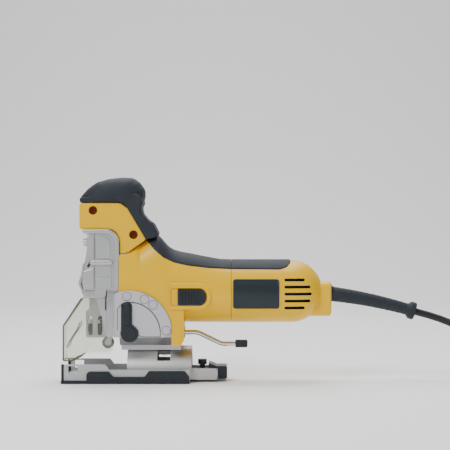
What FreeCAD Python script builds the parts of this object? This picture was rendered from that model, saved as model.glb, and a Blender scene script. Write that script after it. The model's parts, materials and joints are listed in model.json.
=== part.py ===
"""Corded barrel-grip jigsaw as a parametric assembly, in millimetres.

Frame: the origin is the middle of the sole's flat underside on the blade's plane.
+X points to the rear, where the cord leaves, +Y to the tool's far side and +Z up.
Every driving dimension is one cell of the sheet Sizes, and every piece is bound to it.
"""
import FreeCAD, Part
import math
import os

import Sketcher
from FreeCAD import Placement, Rotation, Vector

doc = FreeCAD.newDocument("jigsaw")
sheet = doc.addObject("Spreadsheet::Sheet", "Sizes")

DRIVING = {
    # overall layout
    "barrel_radius": 31.5, "barrel_height": 91, "case_face": -7, "housing_split": 105.8,
    "dome_centre": 167, "wall": 2.7, "skin": 1.3, "play": 0.3, "running": 0.04,
    "body_half": 30.5, "neck_half": 25, "knob_half": 27, "head_half": 26,
    # gear train and blade drive
    "gear_module": 0.9, "pinion_teeth": 9, "gear_teeth": 47, "mesh_slack": 0.35,
    "gear_front": -15.5, "gear_width": 6.5, "axle_radius": 4,
    "blade_line": -31, "plunger_radius": 5, "plunger_foot": 60, "plunger_head": 145.5,
    "stroke": 24, "bush_radius": 8, "bush_length": 10, "lower_bush": 88, "upper_bush": 136,
    "clamp_radius": 8.5, "clamp_foot": 46, "roller_radius": 6,
    "roller_line": -19.6, "roller_height": 38.6, "fork_line": -15, "fork_height": 62,
    # motor
    "shaft_radius": 4, "shaft_front": -6, "shaft_rear": 156, "fan_radius": 25.5,
    "stator_radius": 28.4, "stator_flat": 25.5, "stator_bore": 18.4, "stator_front": 46,
    "stator_length": 44, "core_radius": 17.8, "brush_line": 112, "commutator_radius": 11,
    "front_bearing": 0, "bearing_radius": 11, "bearing_width": 7, "rear_bearing": 147,
    "rear_bearing_radius": 9.5,
    # base
    "sole_half_length": 64, "sole_half_width": 38, "sole_thickness": 2.5, "plate_thickness": 4,
    "rail_half": 36, "rail_width": 3, "bevel_height": 7.5, "hump_radius": 28, "hump_wall": 3,
    "hump_front": 1.3, "hump_rear": 66, "saddle_half": 14, "saddle_top": 37,
    "slot_half": 7, "bolt_line": 38, "bolt_radius": 3, "lever_height": 49, "lever_radius": 2.5,
    # controls
    "scale_line": 4, "scale_height": 50.3, "scale_radius": 42.3, "scale_thickness": 2.5,
    "switch_front": 52.2, "switch_rear": 81.2,
    # cord
    "cord_radius": 3.6, "cord_length": 4000, "coil_mean": 37.5, "coil_columns": 4,
    "coil_layers": 4, "coil_pitch": 7.2, "coil_x": 405,
}
for row, (alias, value) in enumerate(DRIVING.items(), start=1):
    sheet.set(f"A{row}", alias)
    sheet.set(f"B{row}", str(value))
    sheet.setAlias(f"B{row}", alias)
doc.recompute()


class Size:
    """A length with the sheet expression that gives it."""

    def __init__(self, value, text):
        self.value = value
        self.text = text

    def _join(self, other, sign, flip=False):
        left, right = (as_size(other), self) if flip else (self, as_size(other))
        value = {"+": left.value + right.value, "-": left.value - right.value,
                 "*": left.value * right.value,
                 "/": left.value / right.value if right.value else 0}[sign]
        return Size(value, f"({left.text} {sign} {right.text})")

    def __add__(self, other):
        return self._join(other, "+")

    def __radd__(self, other):
        return self._join(other, "+", flip=True)

    def __sub__(self, other):
        return self._join(other, "-")

    def __rsub__(self, other):
        return self._join(other, "-", flip=True)

    def __mul__(self, other):
        return self._join(other, "*")

    __rmul__ = __mul__

    def __truediv__(self, other):
        return self._join(other, "/")

    def __neg__(self):
        return Size(-self.value, f"(0 - {self.text})")


def as_size(number):
    return number if isinstance(number, Size) else Size(float(number), f"({float(number):.6f})")


class Sizes:
    """Reads one sheet cell by its alias."""

    def __getattr__(self, alias):
        return Size(float(sheet.get(alias)), f"Sizes.{alias}")


S = Sizes()
pieces = []


def bind(obj, **sizes):
    """Bind properties to sizes. A double underscore in a name stands for a dot."""
    for name, size in sizes.items():
        obj.setExpression(name.replace("__", "."), as_size(size).text)


def place(obj, at, rotation=None):
    """Put an object at three sizes, turned by a rotation."""
    obj.Placement = Placement(Vector(*(as_size(c).value for c in at)), rotation or Rotation())
    bind(obj, Placement__Base__x=at[0], Placement__Base__y=at[1], Placement__Base__z=at[2])
    return obj


def piece(obj, label):
    """Keep an object as a named piece of the assembly."""
    obj.Label = label
    pieces.append(obj)
    return obj


ALONG = {"X": Rotation(Vector(0, 1, 0), 90), "Y": Rotation(Vector(1, 0, 0), -90),
         "Z": Rotation()}


def cylinder(radius, start, length, centre, axis="X"):
    """A cylinder along an axis from start, centred on the two other coordinates."""
    obj = doc.addObject("Part::Cylinder", "cylinder")
    bind(obj, Radius=radius, Height=length)
    at = {"X": (start, *centre), "Y": (centre[0], start, centre[1]), "Z": (*centre, start)}
    return place(obj, at[axis], ALONG[axis])


def ring(outer, inner, start, length, centre, axis="X"):
    """A tube: a cylinder with a coaxial bore right through it."""
    bore = cylinder(inner, start - 1, as_size(length) + 2, centre, axis)
    return cut(cylinder(outer, start, length, centre, axis), bore)


def cone(first, last, start, length, centre, axis="X"):
    obj = doc.addObject("Part::Cone", "cone")
    bind(obj, Radius1=first, Radius2=last, Height=length)
    at = {"X": (start, *centre), "Y": (centre[0], start, centre[1]), "Z": (*centre, start)}
    return place(obj, at[axis], ALONG[axis])


def box(x, y, z):
    """A box between two sizes along each axis."""
    obj = doc.addObject("Part::Box", "box")
    bind(obj, Length=x[1] - as_size(x[0]), Width=y[1] - as_size(y[0]), Height=z[1] - as_size(z[0]))
    return place(obj, (x[0], y[0], z[0]))


def slab(half, x, z):
    """A box that is centred across the tool."""
    return box(x, (-as_size(half), as_size(half)), z)


def cut(base, *tools):
    for tool in tools:
        result = doc.addObject("Part::Cut", "cut")
        result.Base = base
        result.Tool = tool
        base = result
    return base


def fuse(*shapes):
    result = doc.addObject("Part::MultiFuse", "fuse")
    result.Shapes = list(shapes)
    result.Refine = False
    return result


def common(first, second):
    result = doc.addObject("Part::Common", "common")
    result.Base = first
    result.Tool = second
    return result


def group(*shapes):
    """Separate solids of the same kind kept in one piece."""
    result = doc.addObject("Part::Compound", "group")
    result.Links = list(shapes)
    return result


def turned(obj, axis, degrees, centre):
    """A copy of an object turned about an axis through a centre."""
    result = doc.addObject("Part::Compound", "turned")
    result.Links = [obj]
    middle = Vector(*(as_size(c).value for c in centre))
    result.Placement = Placement(Vector(), Rotation(axis, degrees), middle)
    return result


def mirrored(obj):
    """The same shape on the other side of the blade's plane."""
    result = doc.addObject("Part::Mirroring", "mirrored")
    result.Source = obj
    result.Normal = Vector(0, 1, 0)
    return result


FACING = {"XZ": Rotation(Vector(1, 0, 0), 90), "XY": Rotation(),
          "YZ": Rotation(Vector(1, 1, 1), 120)}


def draw(sketch, outline):
    """Draw a closed outline of (u, v) or (u, v, corner radius) and bind every point."""
    count = len(outline)
    flat = [(as_size(p[0]), as_size(p[1])) for p in outline]
    for i in range(count):
        start, end = flat[i], flat[(i + 1) % count]
        sketch.addGeometry(Part.LineSegment(Vector(start[0].value, start[1].value, 0),
                                            Vector(end[0].value, end[1].value, 0)))
    sketch.addConstraint([Sketcher.Constraint("Coincident", i, 2, (i + 1) % count, 1)
                          for i in range(count)])
    for i, (u, v) in enumerate(flat):
        for kind, size in (("DistanceX", u), ("DistanceY", v)):
            index = sketch.addConstraint(Sketcher.Constraint(kind, -1, 1, i, 1, size.value))
            sketch.setExpression(f"Constraints[{index}]", size.text)
    for i, point in enumerate(outline):
        if len(point) < 3:
            continue
        radius = as_size(point[2])
        arc = sketch.GeometryCount
        sketch.fillet(i, 1, radius.value, True, True)
        index = sketch.addConstraint(Sketcher.Constraint("Radius", arc, radius.value))
        sketch.setExpression(f"Constraints[{index}]", radius.text)


def profile(outline, plane):
    sketch = doc.addObject("Sketcher::SketchObject", "profile")
    sketch.Placement = Placement(Vector(), FACING[plane])
    draw(sketch, outline)
    return sketch


def extrusion(base, plane, start, end):
    """Extrude a flat shape between two sizes along its plane's own axis."""
    result = doc.addObject("Part::Extrusion", "extrusion")
    result.Base = base
    result.DirMode = "Custom"
    result.Dir = {"XZ": Vector(0, 1, 0), "XY": Vector(0, 0, 1), "YZ": Vector(1, 0, 0)}[plane]
    result.Solid = True
    bind(result, LengthFwd=end, LengthRev=-as_size(start))
    return result


def prism(outline, half, plane="XZ"):
    """A symmetric prism of an outline."""
    return extrusion(profile(outline, plane), plane, -as_size(half), half)


def span_prism(outline, start, end, plane="XZ"):
    """A prism of an outline between two sizes along its plane's normal."""
    return extrusion(profile(outline, plane), plane, start, end)


def plate_body(label, outline, role, start, thickness):
    """A PartDesign body: one outline on an origin plane, padded from start."""
    body = doc.addObject("PartDesign::Body", label)
    sketch = body.newObject("Sketcher::SketchObject", label + "_outline")
    plane = [f for f in body.Origin.OriginFeatures if f.Role == role][0]
    sketch.AttachmentSupport = [(plane, "")]
    sketch.MapMode = "FlatFace"
    draw(sketch, outline)
    pad = body.newObject("PartDesign::Pad", label + "_pad")
    pad.Profile = sketch
    pad.Midplane = start is None
    bind(pad, Length=thickness)
    if start is not None:
        axis = {"XY_Plane": "z", "XZ_Plane": "y", "YZ_Plane": "x"}[role]
        bind(body, **{"Placement__Base__" + axis: start})
    return body


def rounded(base, radius, chosen):
    """A Part fillet on the edges of a shape whose middle passes the test."""
    doc.recompute()
    result = doc.addObject("Part::Fillet", "rounded")
    result.Base = base
    size = as_size(radius).value
    result.Edges = [(i, size, size) for i, edge in enumerate(base.Shape.Edges, start=1)
                    if chosen(edge.BoundBox.Center, edge)]
    return result


MOTOR = (0, S.barrel_height)
BLADE = (S.blade_line, 0)
ONE = as_size(1)
FAR = as_size(60)


# ---------------------------------------------------------------- gear train
def gear_sizes():
    pinion_pitch = S.gear_module * S.pinion_teeth / 2
    gear_pitch = S.gear_module * S.gear_teeth / 2
    return pinion_pitch, gear_pitch, S.barrel_height + pinion_pitch + gear_pitch + S.mesh_slack


PINION_PITCH, GEAR_PITCH, GEAR_HEIGHT = gear_sizes()
CRANK = S.stroke / 2


def toothed_body(label, teeth, pitch, start, width, centre_height, bore):
    """A spur gear: a root disc, one tooth and its polar pattern, then the bore."""
    body = doc.addObject("PartDesign::Body", label)
    role = {f.Role: f for f in body.Origin.OriginFeatures}

    def sketch(name):
        made = body.newObject("Sketcher::SketchObject", name)
        made.AttachmentSupport = [(role["YZ_Plane"], "")]
        made.MapMode = "FlatFace"
        return made

    def circle(made, radius):
        made.addGeometry(Part.Circle(Vector(), Vector(0, 0, 1), as_size(radius).value))
        made.addConstraint(Sketcher.Constraint("Coincident", 0, 3, -1, 1))
        index = made.addConstraint(Sketcher.Constraint("Radius", 0, as_size(radius).value))
        made.setExpression(f"Constraints[{index}]", as_size(radius).text)

    root = pitch - S.gear_module * 1.2
    disc = sketch(label + "_root")
    circle(disc, root)
    pad = body.newObject("PartDesign::Pad", label + "_disc")
    pad.Profile = disc
    bind(pad, Length=width)
    foot = S.gear_module * 0.98
    tip = S.gear_module * 0.34
    tooth = sketch(label + "_tooth")
    draw(tooth, [(-foot, root - S.gear_module * 0.3), (foot, root - S.gear_module * 0.3),
                 (tip, pitch + S.gear_module * 0.8), (-tip, pitch + S.gear_module * 0.8)])
    one_tooth = body.newObject("PartDesign::Pad", label + "_tooth_pad")
    one_tooth.Profile = tooth
    bind(one_tooth, Length=width)
    ring_of_teeth = body.newObject("PartDesign::PolarPattern", label + "_teeth")
    ring_of_teeth.Originals = [one_tooth]
    ring_of_teeth.Axis = (role["X_Axis"], [""])
    ring_of_teeth.Angle = 360
    bind(ring_of_teeth, Occurrences=teeth)
    body.Tip = ring_of_teeth
    if bore is not None:
        hole = sketch(label + "_bore_outline")
        circle(hole, bore)
        pocket = body.newObject("PartDesign::Pocket", label + "_bore")
        pocket.Profile = hole
        pocket.Type = "ThroughAll"
        pocket.Midplane = True
        body.Tip = pocket
    return place(body, (start, 0, centre_height))


def make_gear_train():
    gear = toothed_body("drive_gear", S.gear_teeth, GEAR_PITCH, S.gear_front, S.gear_width,
                        GEAR_HEIGHT, S.axle_radius + S.running)
    piece(gear, "drive_gear")
    axis = (0, GEAR_HEIGHT)
    web = cylinder(GEAR_PITCH - 2, S.gear_front - 2.5, 2.5, axis)
    lower_half = box((S.gear_front - 3, S.gear_front + ONE), (-FAR, FAR),
                     (GEAR_HEIGHT - 60, GEAR_HEIGHT - CRANK + 6))
    segment = common(web, lower_half)
    pin_at = (0, GEAR_HEIGHT + CRANK)
    piece(segment, "counterweight")
    pin = fuse(cylinder(3, S.gear_front - 4.5, 4.5, pin_at), cylinder(4.5, S.gear_front - 1.2, 1.2, pin_at))
    piece(pin, "crank_pin")
    axle = fuse(cylinder(S.axle_radius, S.gear_front - 1, 15.4, axis),
                cylinder(S.axle_radius + 2, S.gear_front + S.gear_width + S.play, 0.6, axis))
    return axle


# ---------------------------------------------------------------- motor
def make_motor():
    pinion = toothed_body("pinion_teeth_ring", S.pinion_teeth, PINION_PITCH, S.gear_front,
                          S.gear_width + ONE, S.barrel_height, None)
    shaft = cylinder(S.shaft_radius, S.shaft_front, S.shaft_rear - S.shaft_front, MOTOR)
    piece(fuse(pinion, shaft), "armature_shaft")
    bore = S.shaft_radius
    core = ring(S.core_radius, bore, S.stator_front, S.stator_length, MOTOR)
    slots = []
    for i in range(12):
        slot = slab(0.9, (S.stator_front - 1, S.stator_front + S.stator_length + 1),
                    (S.barrel_height + 14, S.barrel_height + 20))
        slots.append(turned(slot, Vector(1, 0, 0), 30 * i, (0, 0, S.barrel_height)))
    piece(cut(core, group(*slots)), "armature_core")
    front = S.stator_front - 10
    rear = S.stator_front + S.stator_length
    piece(group(ring(15.5, bore, front, 10, MOTOR), ring(15.5, bore, rear, 10, MOTOR)),
          "armature_windings")
    commutator = ring(S.commutator_radius, bore, S.brush_line - 8, 16, MOTOR)
    grooves = []
    for i in range(12):
        groove = slab(0.3, (S.brush_line - 6, S.brush_line + 9),
                      (S.barrel_height + S.commutator_radius - 1, S.barrel_height + 14))
        grooves.append(turned(groove, Vector(1, 0, 0), 30 * i + 15, (0, 0, S.barrel_height)))
    piece(cut(commutator, group(*grooves)), "commutator")
    hub = ring(7, bore, 14, 14, MOTOR)
    disc = ring(S.fan_radius, bore, 26, 1.6, MOTOR)
    blades = []
    for i in range(11):
        blade = slab(0.8, (15, 26), (S.barrel_height + 6, S.barrel_height + S.fan_radius - 0.5))
        blades.append(turned(blade, Vector(1, 0, 0), 360 / 11 * i, (0, 0, S.barrel_height)))
    piece(fuse(hub, disc, *blades), "cooling_fan")

    outer = common(cylinder(S.stator_radius, S.stator_front, S.stator_length, MOTOR),
                   slab(S.stator_flat, (0, 150), (40, 140)))
    poles = cut(outer, cylinder(S.stator_bore, 0, 150, MOTOR),
                slab(21.5, (0, 150), (S.barrel_height - 7, S.barrel_height + 7)))
    piece(poles, "stator_core")
    coils = []
    for start in (S.stator_front - 9, S.stator_front + S.stator_length):
        loop = common(ring(25, 19.5, start, 9, MOTOR), slab(21, (0, 150), (40, 140)))
        coils.append(cut(loop, slab(30, (0, 150), (S.barrel_height - 8, S.barrel_height + 8))))
    piece(group(*coils), "stator_windings")
    piece(bearing(S.front_bearing, S.bearing_radius), "front_bearing")
    piece(bearing(S.rear_bearing, S.rear_bearing_radius), "rear_bearing")

    holders, brushes, springs = [], [], []
    reach = (S.commutator_radius + 1.5, S.barrel_radius - S.wall - 0.9)
    inner = (S.commutator_radius + 0.05, S.commutator_radius + 10)
    for side in (-1, 1):
        def height(span):
            ends = (S.barrel_height + side * span[0], S.barrel_height + side * span[1])
            return ends if side > 0 else ends[::-1]
        tube = cut(slab(4.5, (S.brush_line - 5.5, S.brush_line + 5.5), height(reach)),
                   slab(3, (S.brush_line - 4, S.brush_line + 4), (0, 200)))
        holders.append(tube)
        brushes.append(slab(2.95, (S.brush_line - 3.95, S.brush_line + 3.95), height(inner)))
        low, high = height((inner[1], reach[1]))
        springs.append(ring(2.6, 1.8, low, high - low, (S.brush_line, 0), "Z"))
    piece(group(*holders), "brush_holders")
    piece(group(*brushes, *springs), "carbon_brushes")


def bearing(start, radius):
    """A ball bearing drawn as inner ring, outer ring and a web as wide as its seals."""
    inner = ring(S.shaft_radius + 2, S.shaft_radius + 2 * S.running, start, S.bearing_width, MOTOR)
    outer = ring(radius, radius - 2, start, S.bearing_width, MOTOR)
    seal = ring(radius - 1.5, S.shaft_radius + 1.5, start + 0.7, S.bearing_width - 1.4, MOTOR)
    return fuse(inner, outer, seal)


# ---------------------------------------------------------------- gear case
HEAD_TOP = as_size(153.5)
HEAD_FOOT = as_size(84)
SEAM = S.blade_line
DECK = as_size(45.9)


def case_screws():
    """Four cap screws that hold the front cover, seen from the front."""
    made = []
    for y in (-S.head_half + 6, S.head_half - 6):
        for z in (as_size(99), as_size(141)):
            head = ring(3.6, 1.6, -43, 2, (y, z))
            made.append(fuse(head, cylinder(3.6, -41.2, 2.2, (y, z)), cylinder(2, -40, 15, (y, z))))
    return made


def make_gear_case(screws):
    """Cast head, lower cheeks and under-tray, all open to the gear and fan spaces."""
    head = prism([(SEAM, HEAD_FOOT + 9), (SEAM, HEAD_TOP), (S.case_face - 3, HEAD_TOP, 9),
                  (S.case_face - 3, HEAD_FOOT + 9)], S.head_half)
    rim = prism([(SEAM, HEAD_TOP - 3), (SEAM, HEAD_TOP), (S.case_face, HEAD_TOP, 12),
                 (S.case_face, HEAD_FOOT + 8), (S.case_face - 4.5, HEAD_FOOT + 8),
                 (S.case_face - 4.5, HEAD_TOP - 3, 9)], S.head_half + 2)
    rim = cut(rim, slab(S.head_half - 3, (SEAM - 2, S.case_face - 1), (60, HEAD_TOP - 3)))
    chamber = slab(S.head_half - 3, (SEAM - 2, S.case_face - 1), (HEAD_FOOT + 12, HEAD_TOP - 3))
    partition = slab(S.head_half, (S.case_face - 1, -1), (HEAD_FOOT - 38, 129))
    boss = cylinder(S.bearing_radius + 3, -1.5, S.bearing_width + 2, MOTOR)
    web_low = slab(S.head_half, (SEAM, -20), (S.lower_bush, S.lower_bush + S.bush_length))
    gear_room = cylinder(GEAR_PITCH + 2, S.gear_front - 4, S.gear_width + 3, (0, GEAR_HEIGHT))
    web_high = slab(S.head_half, (SEAM, -21), (S.upper_bush, HEAD_TOP))
    nose = cut(cylinder(12.5, HEAD_FOOT, 9.5, BLADE, "Z"), box((-FAR, SEAM), (-FAR, FAR), (60, 100)))
    quadrant = common(cylinder(S.scale_radius - 0.3, -S.body_half + 0.5, (S.body_half - 0.5) * 2,
                               (S.scale_line, S.scale_height), "Y"),
                      slab(S.body_half, (-12, 58), (DECK, 100)))
    tray = span_prism([(-27, 58), (-27, DECK + 1), (-S.saddle_half - 1, S.saddle_top),
                       (S.saddle_half + 1, S.saddle_top), (27, DECK + 1), (27, 58)], -6.5, 46, "YZ")
    pillar = slab(14, (-20, -6), (DECK - 0.5, HEAD_FOOT + 10))
    solid = fuse(cut(head, chamber), web_low, web_high, rim, partition, nose,
                 quadrant, tray, pillar, boss)
    hollow_tray = slab(24.5, (-4, 44), (DECK + 1.5, 100))
    hollow_slope = slab(12, (-4, 44), (S.saddle_top + 3, 60))
    body = cut(
        solid,
        slab(7.6, (-21, -3.9), (40, 71)),                                 # fork slot in the pillar
        hollow_tray, hollow_slope,
        cylinder(S.barrel_radius - S.wall - 1, 9, 60, MOTOR),              # fan and stator space
        cylinder(S.bearing_radius + 0.02, S.front_bearing, 20, MOTOR),
        cylinder(6, -30, 40, MOTOR),
        cylinder(S.axle_radius, -40, 60, (0, GEAR_HEIGHT)),
        cylinder(S.bush_radius, S.lower_bush - 1, S.bush_length + 1, BLADE, "Z"),
        cylinder(S.bush_radius, S.upper_bush, S.bush_length, BLADE, "Z"),
        cylinder(S.plunger_radius + 1.5, 60, 120, BLADE, "Z"),
        cylinder(S.clamp_radius + 1, HEAD_FOOT - 5, S.lower_bush - HEAD_FOOT + 4.4, BLADE, "Z"),
        cylinder(3, -40, 30, (S.scale_line, S.scale_height), "Y"),
        cylinder(S.bolt_radius + 1, 30, 30, (S.bolt_line, 0), "Z"),
        slab(16, (40, 50), (S.lever_height - 4, S.lever_height + 5)),
        gear_room,
        cylinder(2, -20, 40, (S.fork_line, S.fork_height), "Y"),
        *screws,
    )
    piece(body, "gear_case")


SCREW_MOUTHS = [(y, z) for y in (-S.head_half + 6, S.head_half - 6) for z in (as_size(99), as_size(141))]
LEVER_PIVOT = (as_size(-40), as_size(118.6))


def make_front_cover(screws):
    outline = [(SEAM, HEAD_FOOT + 9), (-42.6, HEAD_FOOT + 9), (-43.5, 108), (-41, 122, 6), (-39.6, 131),
               (-38, 147, 2), (-43, 150.5), (-43, 153.5), (SEAM, HEAD_TOP)]
    shell = rounded(prism(outline, S.head_half), 2,
                    lambda c, e: abs(abs(c.y) - S.head_half.value) < 0.1 and c.x < -38 and e.Length > 6)
    hollow = slab(S.head_half - 3, (-40.5, SEAM + 1), (S.lower_bush + S.bush_length, S.upper_bush))
    nose = cut(cylinder(12.5, HEAD_FOOT, 9.5, BLADE, "Z"), box((SEAM, FAR), (-FAR, FAR), (60, 100)))
    lever_slot = slab(12.4, (-50, -40.4), (HEAD_FOOT - 2, 124))
    body = cut(fuse(shell, nose), hollow, lever_slot,
               cylinder(1.5, -24.5, 49, LEVER_PIVOT, "Y"),
               cylinder(S.bush_radius, S.lower_bush - 1, S.bush_length + 1, BLADE, "Z"),
               cylinder(S.bush_radius, S.upper_bush, S.bush_length, BLADE, "Z"),
               cylinder(S.plunger_radius + 1.5, 60, 120, BLADE, "Z"),
               cylinder(S.clamp_radius + 1, HEAD_FOOT - 5, S.lower_bush - HEAD_FOOT + 4.4, BLADE, "Z"),
               *screws, *[cylinder(4, -50, 7, at) for at in SCREW_MOUTHS])
    piece(body, "gear_case_front_cover")
    piece(group(*screws), "gear_case_screws")


def make_scale_plate():
    """Quadrant plate of the orbit selector, with a recess and a row of raised rings."""
    centre = (S.scale_line, S.scale_height)
    face = -S.body_half - S.scale_thickness + 0.5
    disc = cylinder(S.scale_radius, face, S.scale_thickness, centre, "Y")
    keep = slab(60, (-10.2, 60), (DECK, 100))
    corner = prism([(-10.2, DECK, 8), (40.5, DECK, 8), (46, 55), (46, 93), (-10.2, 93)], 60)
    plate = cut(common(common(disc, keep), corner), cylinder(9.2, -50, 50, centre, "Y"))
    groove = cut(cylinder(31.3, face - 1, 2, centre, "Y"), cylinder(30.3, face - 2, 4, centre, "Y"))
    groove = common(groove, box((0, 40), (-60, 0), (54, 100)))
    rings = []
    for degrees in (94, 66, 50, 4):
        x = S.scale_line + 37 * math.cos(math.radians(degrees))
        z = S.scale_height + 37 * math.sin(math.radians(degrees))
        rings.append(ring(4, 3.1, face - 0.4, 0.9, (x, z), "Y"))
    piece(fuse(cut(plate, groove), *rings), "orbit_scale_plate")


# ---------------------------------------------------------------- blade drive
def make_blade_drive():
    top = S.plunger_head
    shaft = cylinder(S.plunger_radius, S.plunger_foot, top - S.plunger_foot, BLADE, "Z")
    piece(shaft, "plunger")
    yoke_height = GEAR_HEIGHT - CRANK
    bar = slab(17.5, (-24.6, S.gear_front - 5), (yoke_height - 6, yoke_height + 6))
    track = slab(15, (-30, -10), (yoke_height - 3.2, yoke_height + 3.2))
    saddle = cut(slab(8, (S.blade_line, -23.5), (yoke_height - 6, yoke_height + 6)),
                 cylinder(S.plunger_radius, 60, 120, BLADE, "Z"))
    piece(fuse(cut(saddle, slab(20, (-24.6, -10), (60, 150))), cut(bar, track)), "scotch_yoke")
    clamp = cylinder(S.clamp_radius - 1.6, S.clamp_foot, 15, BLADE, "Z")
    bore = cylinder(S.plunger_radius, S.plunger_foot, 10, BLADE, "Z")
    blade_slot = slab(0.75, (S.blade_line - 4.5, S.blade_line + 4.5), (S.clamp_foot - 1, S.clamp_foot + 12))
    shoulder = cylinder(S.clamp_radius, S.clamp_foot + 12.5, 3.5, BLADE, "Z")
    piece(cut(fuse(clamp, shoulder), bore, blade_slot), "blade_clamp")
    sleeve = ring(S.clamp_radius, S.clamp_radius - 1.6 + 0.05, S.clamp_foot + 0.5, 11.9, BLADE, "Z")
    ear = common(box((S.blade_line - 9.2, S.blade_line - 6), (-2.2, 2.2), (S.clamp_foot + 4, S.clamp_foot + 10)),
                 cylinder(9.2, 40, 30, BLADE, "Z"))
    body = fuse(sleeve, cut(ear, cylinder(S.clamp_radius - 1.5, 40, 30, BLADE, "Z")))
    piece(body, "clamp_collar")
    for label, foot in (("lower_guide_bush", S.lower_bush), ("upper_guide_bush", S.upper_bush)):
        piece(ring(S.bush_radius, S.plunger_radius + S.running, foot, S.bush_length, BLADE, "Z"), label)

    side = [(-41.3, 44.4, 2), (-20.3, 44.4, 2), (-20.3, 72), (-22, 72), (-22, HEAD_FOOT),
            (-38, HEAD_FOOT), (-38, 72), (-41.3, 72)]
    cheek = cut(prism(side, 11.2), slab(9.4, (-60, 0), (30, 100)))
    slots = []
    for x in (-36.9, -27.1):
        slots.append(slab(20, (x - 2.4, x + as_size(2.4)), (49, 64)))
        slots += [cylinder(2.4, -20, 40, (x, z), "Y") for z in (49, 64)]
    back = cut(slab(9.4, (-22.3, -20.3), (52, 72)), slab(6.5, (-60, 0), (30, 100)))
    piece(fuse(cut(cheek, fuse(*slots)), back), "blade_guide_bracket")


def make_pendulum():
    fork_side = [(-17.8, 65, 2.4), (-12.2, 65, 2.4), (-12.4, 58), (-15.2, 46), (-16.6, 36.2, 2.5),
                 (-22.6, 36.2, 2.5), (-22.6, 41.5, 2.5), (-18.6, 46), (-17.6, 58)]
    arms = cut(prism(fork_side, 5.6), slab(3.3, (-40, 0), (30, 48)))
    tail = slab(2, (-13.5, -2.8), (53, 57))
    fork = cut(fuse(arms, tail), cylinder(2.05, -20, 40, (S.fork_line, S.fork_height), "Y"),
               cylinder(1.5, -20, 40, (S.roller_line, S.roller_height), "Y"))
    piece(fork, "pendulum_fork")
    at = (S.roller_line, S.roller_height)
    wheel = ring(S.roller_radius, 1.54, -3, 6, at, "Y")
    groove = ring(S.roller_radius + 1, S.roller_radius - 1.2, -0.9, 1.8, at, "Y")
    piece(cut(wheel, groove), "guide_roller")
    piece(cylinder(1.5, -5.6, 11.2, at, "Y"), "roller_pin")
    return cylinder(2, -14, 28, (S.fork_line, S.fork_height), "Y")


def make_release_lever():
    head = prism([(-37.4, 118.5, 1.2), (-40.4, 122, 1.6), (-44.6, 118.6, 2.5), (-46.2, 108),
                  (-49.4, 99, 6), (-45.4, 90.6, 1), (-43.6, 90.6, 1), (-46.8, 99, 4),
                  (-43.9, 107.5), (-42.2, 113, 2)], 12)
    piece(cut(head, cylinder(1.55, -30, 60, LEVER_PIVOT, "Y")), "release_lever")
    return cylinder(1.5, -24.5, 49, LEVER_PIVOT, "Y")


# ---------------------------------------------------------------- housings
def front_block(drop=as_size(0)):
    """Side outline of the front housing ahead of the plain barrel, its back lowered by drop."""
    barrel_top = S.barrel_height + S.barrel_radius
    back = [(3.2, 131, 10), (9.9, 136.3), (19.6, 141.7), (31.6, 145.4, 3), (38.4, 137.2, 12),
            (47, 131, 14), (62.2, 127.4), (80, 123.6)]
    lowered = [(p[0], p[1] - drop, *p[2:]) for p in back]
    return [(S.case_face, 93), (S.case_face, 129.3), *lowered,
            (96, barrel_top - 2.5 - drop), (96, 84), (58.3, 62), (58.3, 42.7), (54.9, 36.8),
            (46.3, 36.8), (46.3, 60), (30, 86)]


def make_front_housing():
    wall = S.wall
    block = rounded(prism(front_block(), S.body_half), 9,
                    lambda c, e: c.z > 116 and abs(abs(c.y) - S.body_half.value) < 0.1 and e.Length > 1)
    barrel = cylinder(S.barrel_radius, 12, S.housing_split - 12, MOTOR)
    rim = span_prism([(43.5, 73.4, 3), (71, 73.4), (85.8, 73.4, 13), (85.8, 100.3, 13), (71, 100.3),
                      (43.5, 100.3, 3)],
                     -33, -24)
    inner_block = prism([(0, 90), (0, 126), (12, 133), (28, 139), (36, 132.4), (46, 127), (60, 124),
                         (80, 119), (80, 80), (55.5, 62), (55.5, 30), (44, 30), (44, 60)],
                        S.body_half - wall)
    outer = fuse(block, barrel, rim)
    window = box((45.1, 81.6), (-40, -31), (77.6, 95.2))
    stem_slot = box((55, 77), (-40, -20), (82, 91))
    quadrant = cylinder(S.scale_radius + 0.3, -40, 80, (S.scale_line, S.scale_height), "Y")
    bore = cylinder(S.barrel_radius - wall, 10, 100, MOTOR)
    lever_way = slab(17, (50, 62), (30, S.lever_height + 5))
    below = slab(22.9, (50, 62), (30, 46.5))
    strip_bed = cut(rubber_space(as_size(20), S.housing_split + 1), housing_inset())
    front_hold = slab(S.head_half + 0.2, (-12, -0.8), (40, 148.2))
    body = cut(outer, inner_block, bore, window, stem_slot, quadrant, lever_way, below,
               strip_bed, front_hold, cylinder(S.bearing_radius + 3.1, -5, 15, MOTOR),
               cylinder(S.scale_radius - 0.2, -40, 80, (S.scale_line, S.scale_height), "Y"))
    piece(body, "front_housing")


STRIP_LINE = [(20.2, 143.2), (28.5, 133.5, 6), (37.7, 125.8, 8), (48.4, 120.8, 8), (62.5, 117.6, 10),
              (83.3, 115.2, 10), (105.8, 113.6)]


def rubber_space(start, end):
    """The region of the top rubber: above the parting curve, between two stations."""
    outline = STRIP_LINE[:-1] + [(S.housing_split, 113.6), (168, 113.6, 6), (168, 150), (20.2, 150)]
    region = prism(outline, 40)
    return common(region, slab(50, (start, end), (100, 160)))


def strip_outer():
    block = rounded(prism(front_block(), S.body_half), 9,
                    lambda c, e: c.z > 116 and abs(abs(c.y) - S.body_half.value) < 0.1 and e.Length > 1)
    return fuse(block, cylinder(S.barrel_radius, 12, 160, MOTOR))


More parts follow.
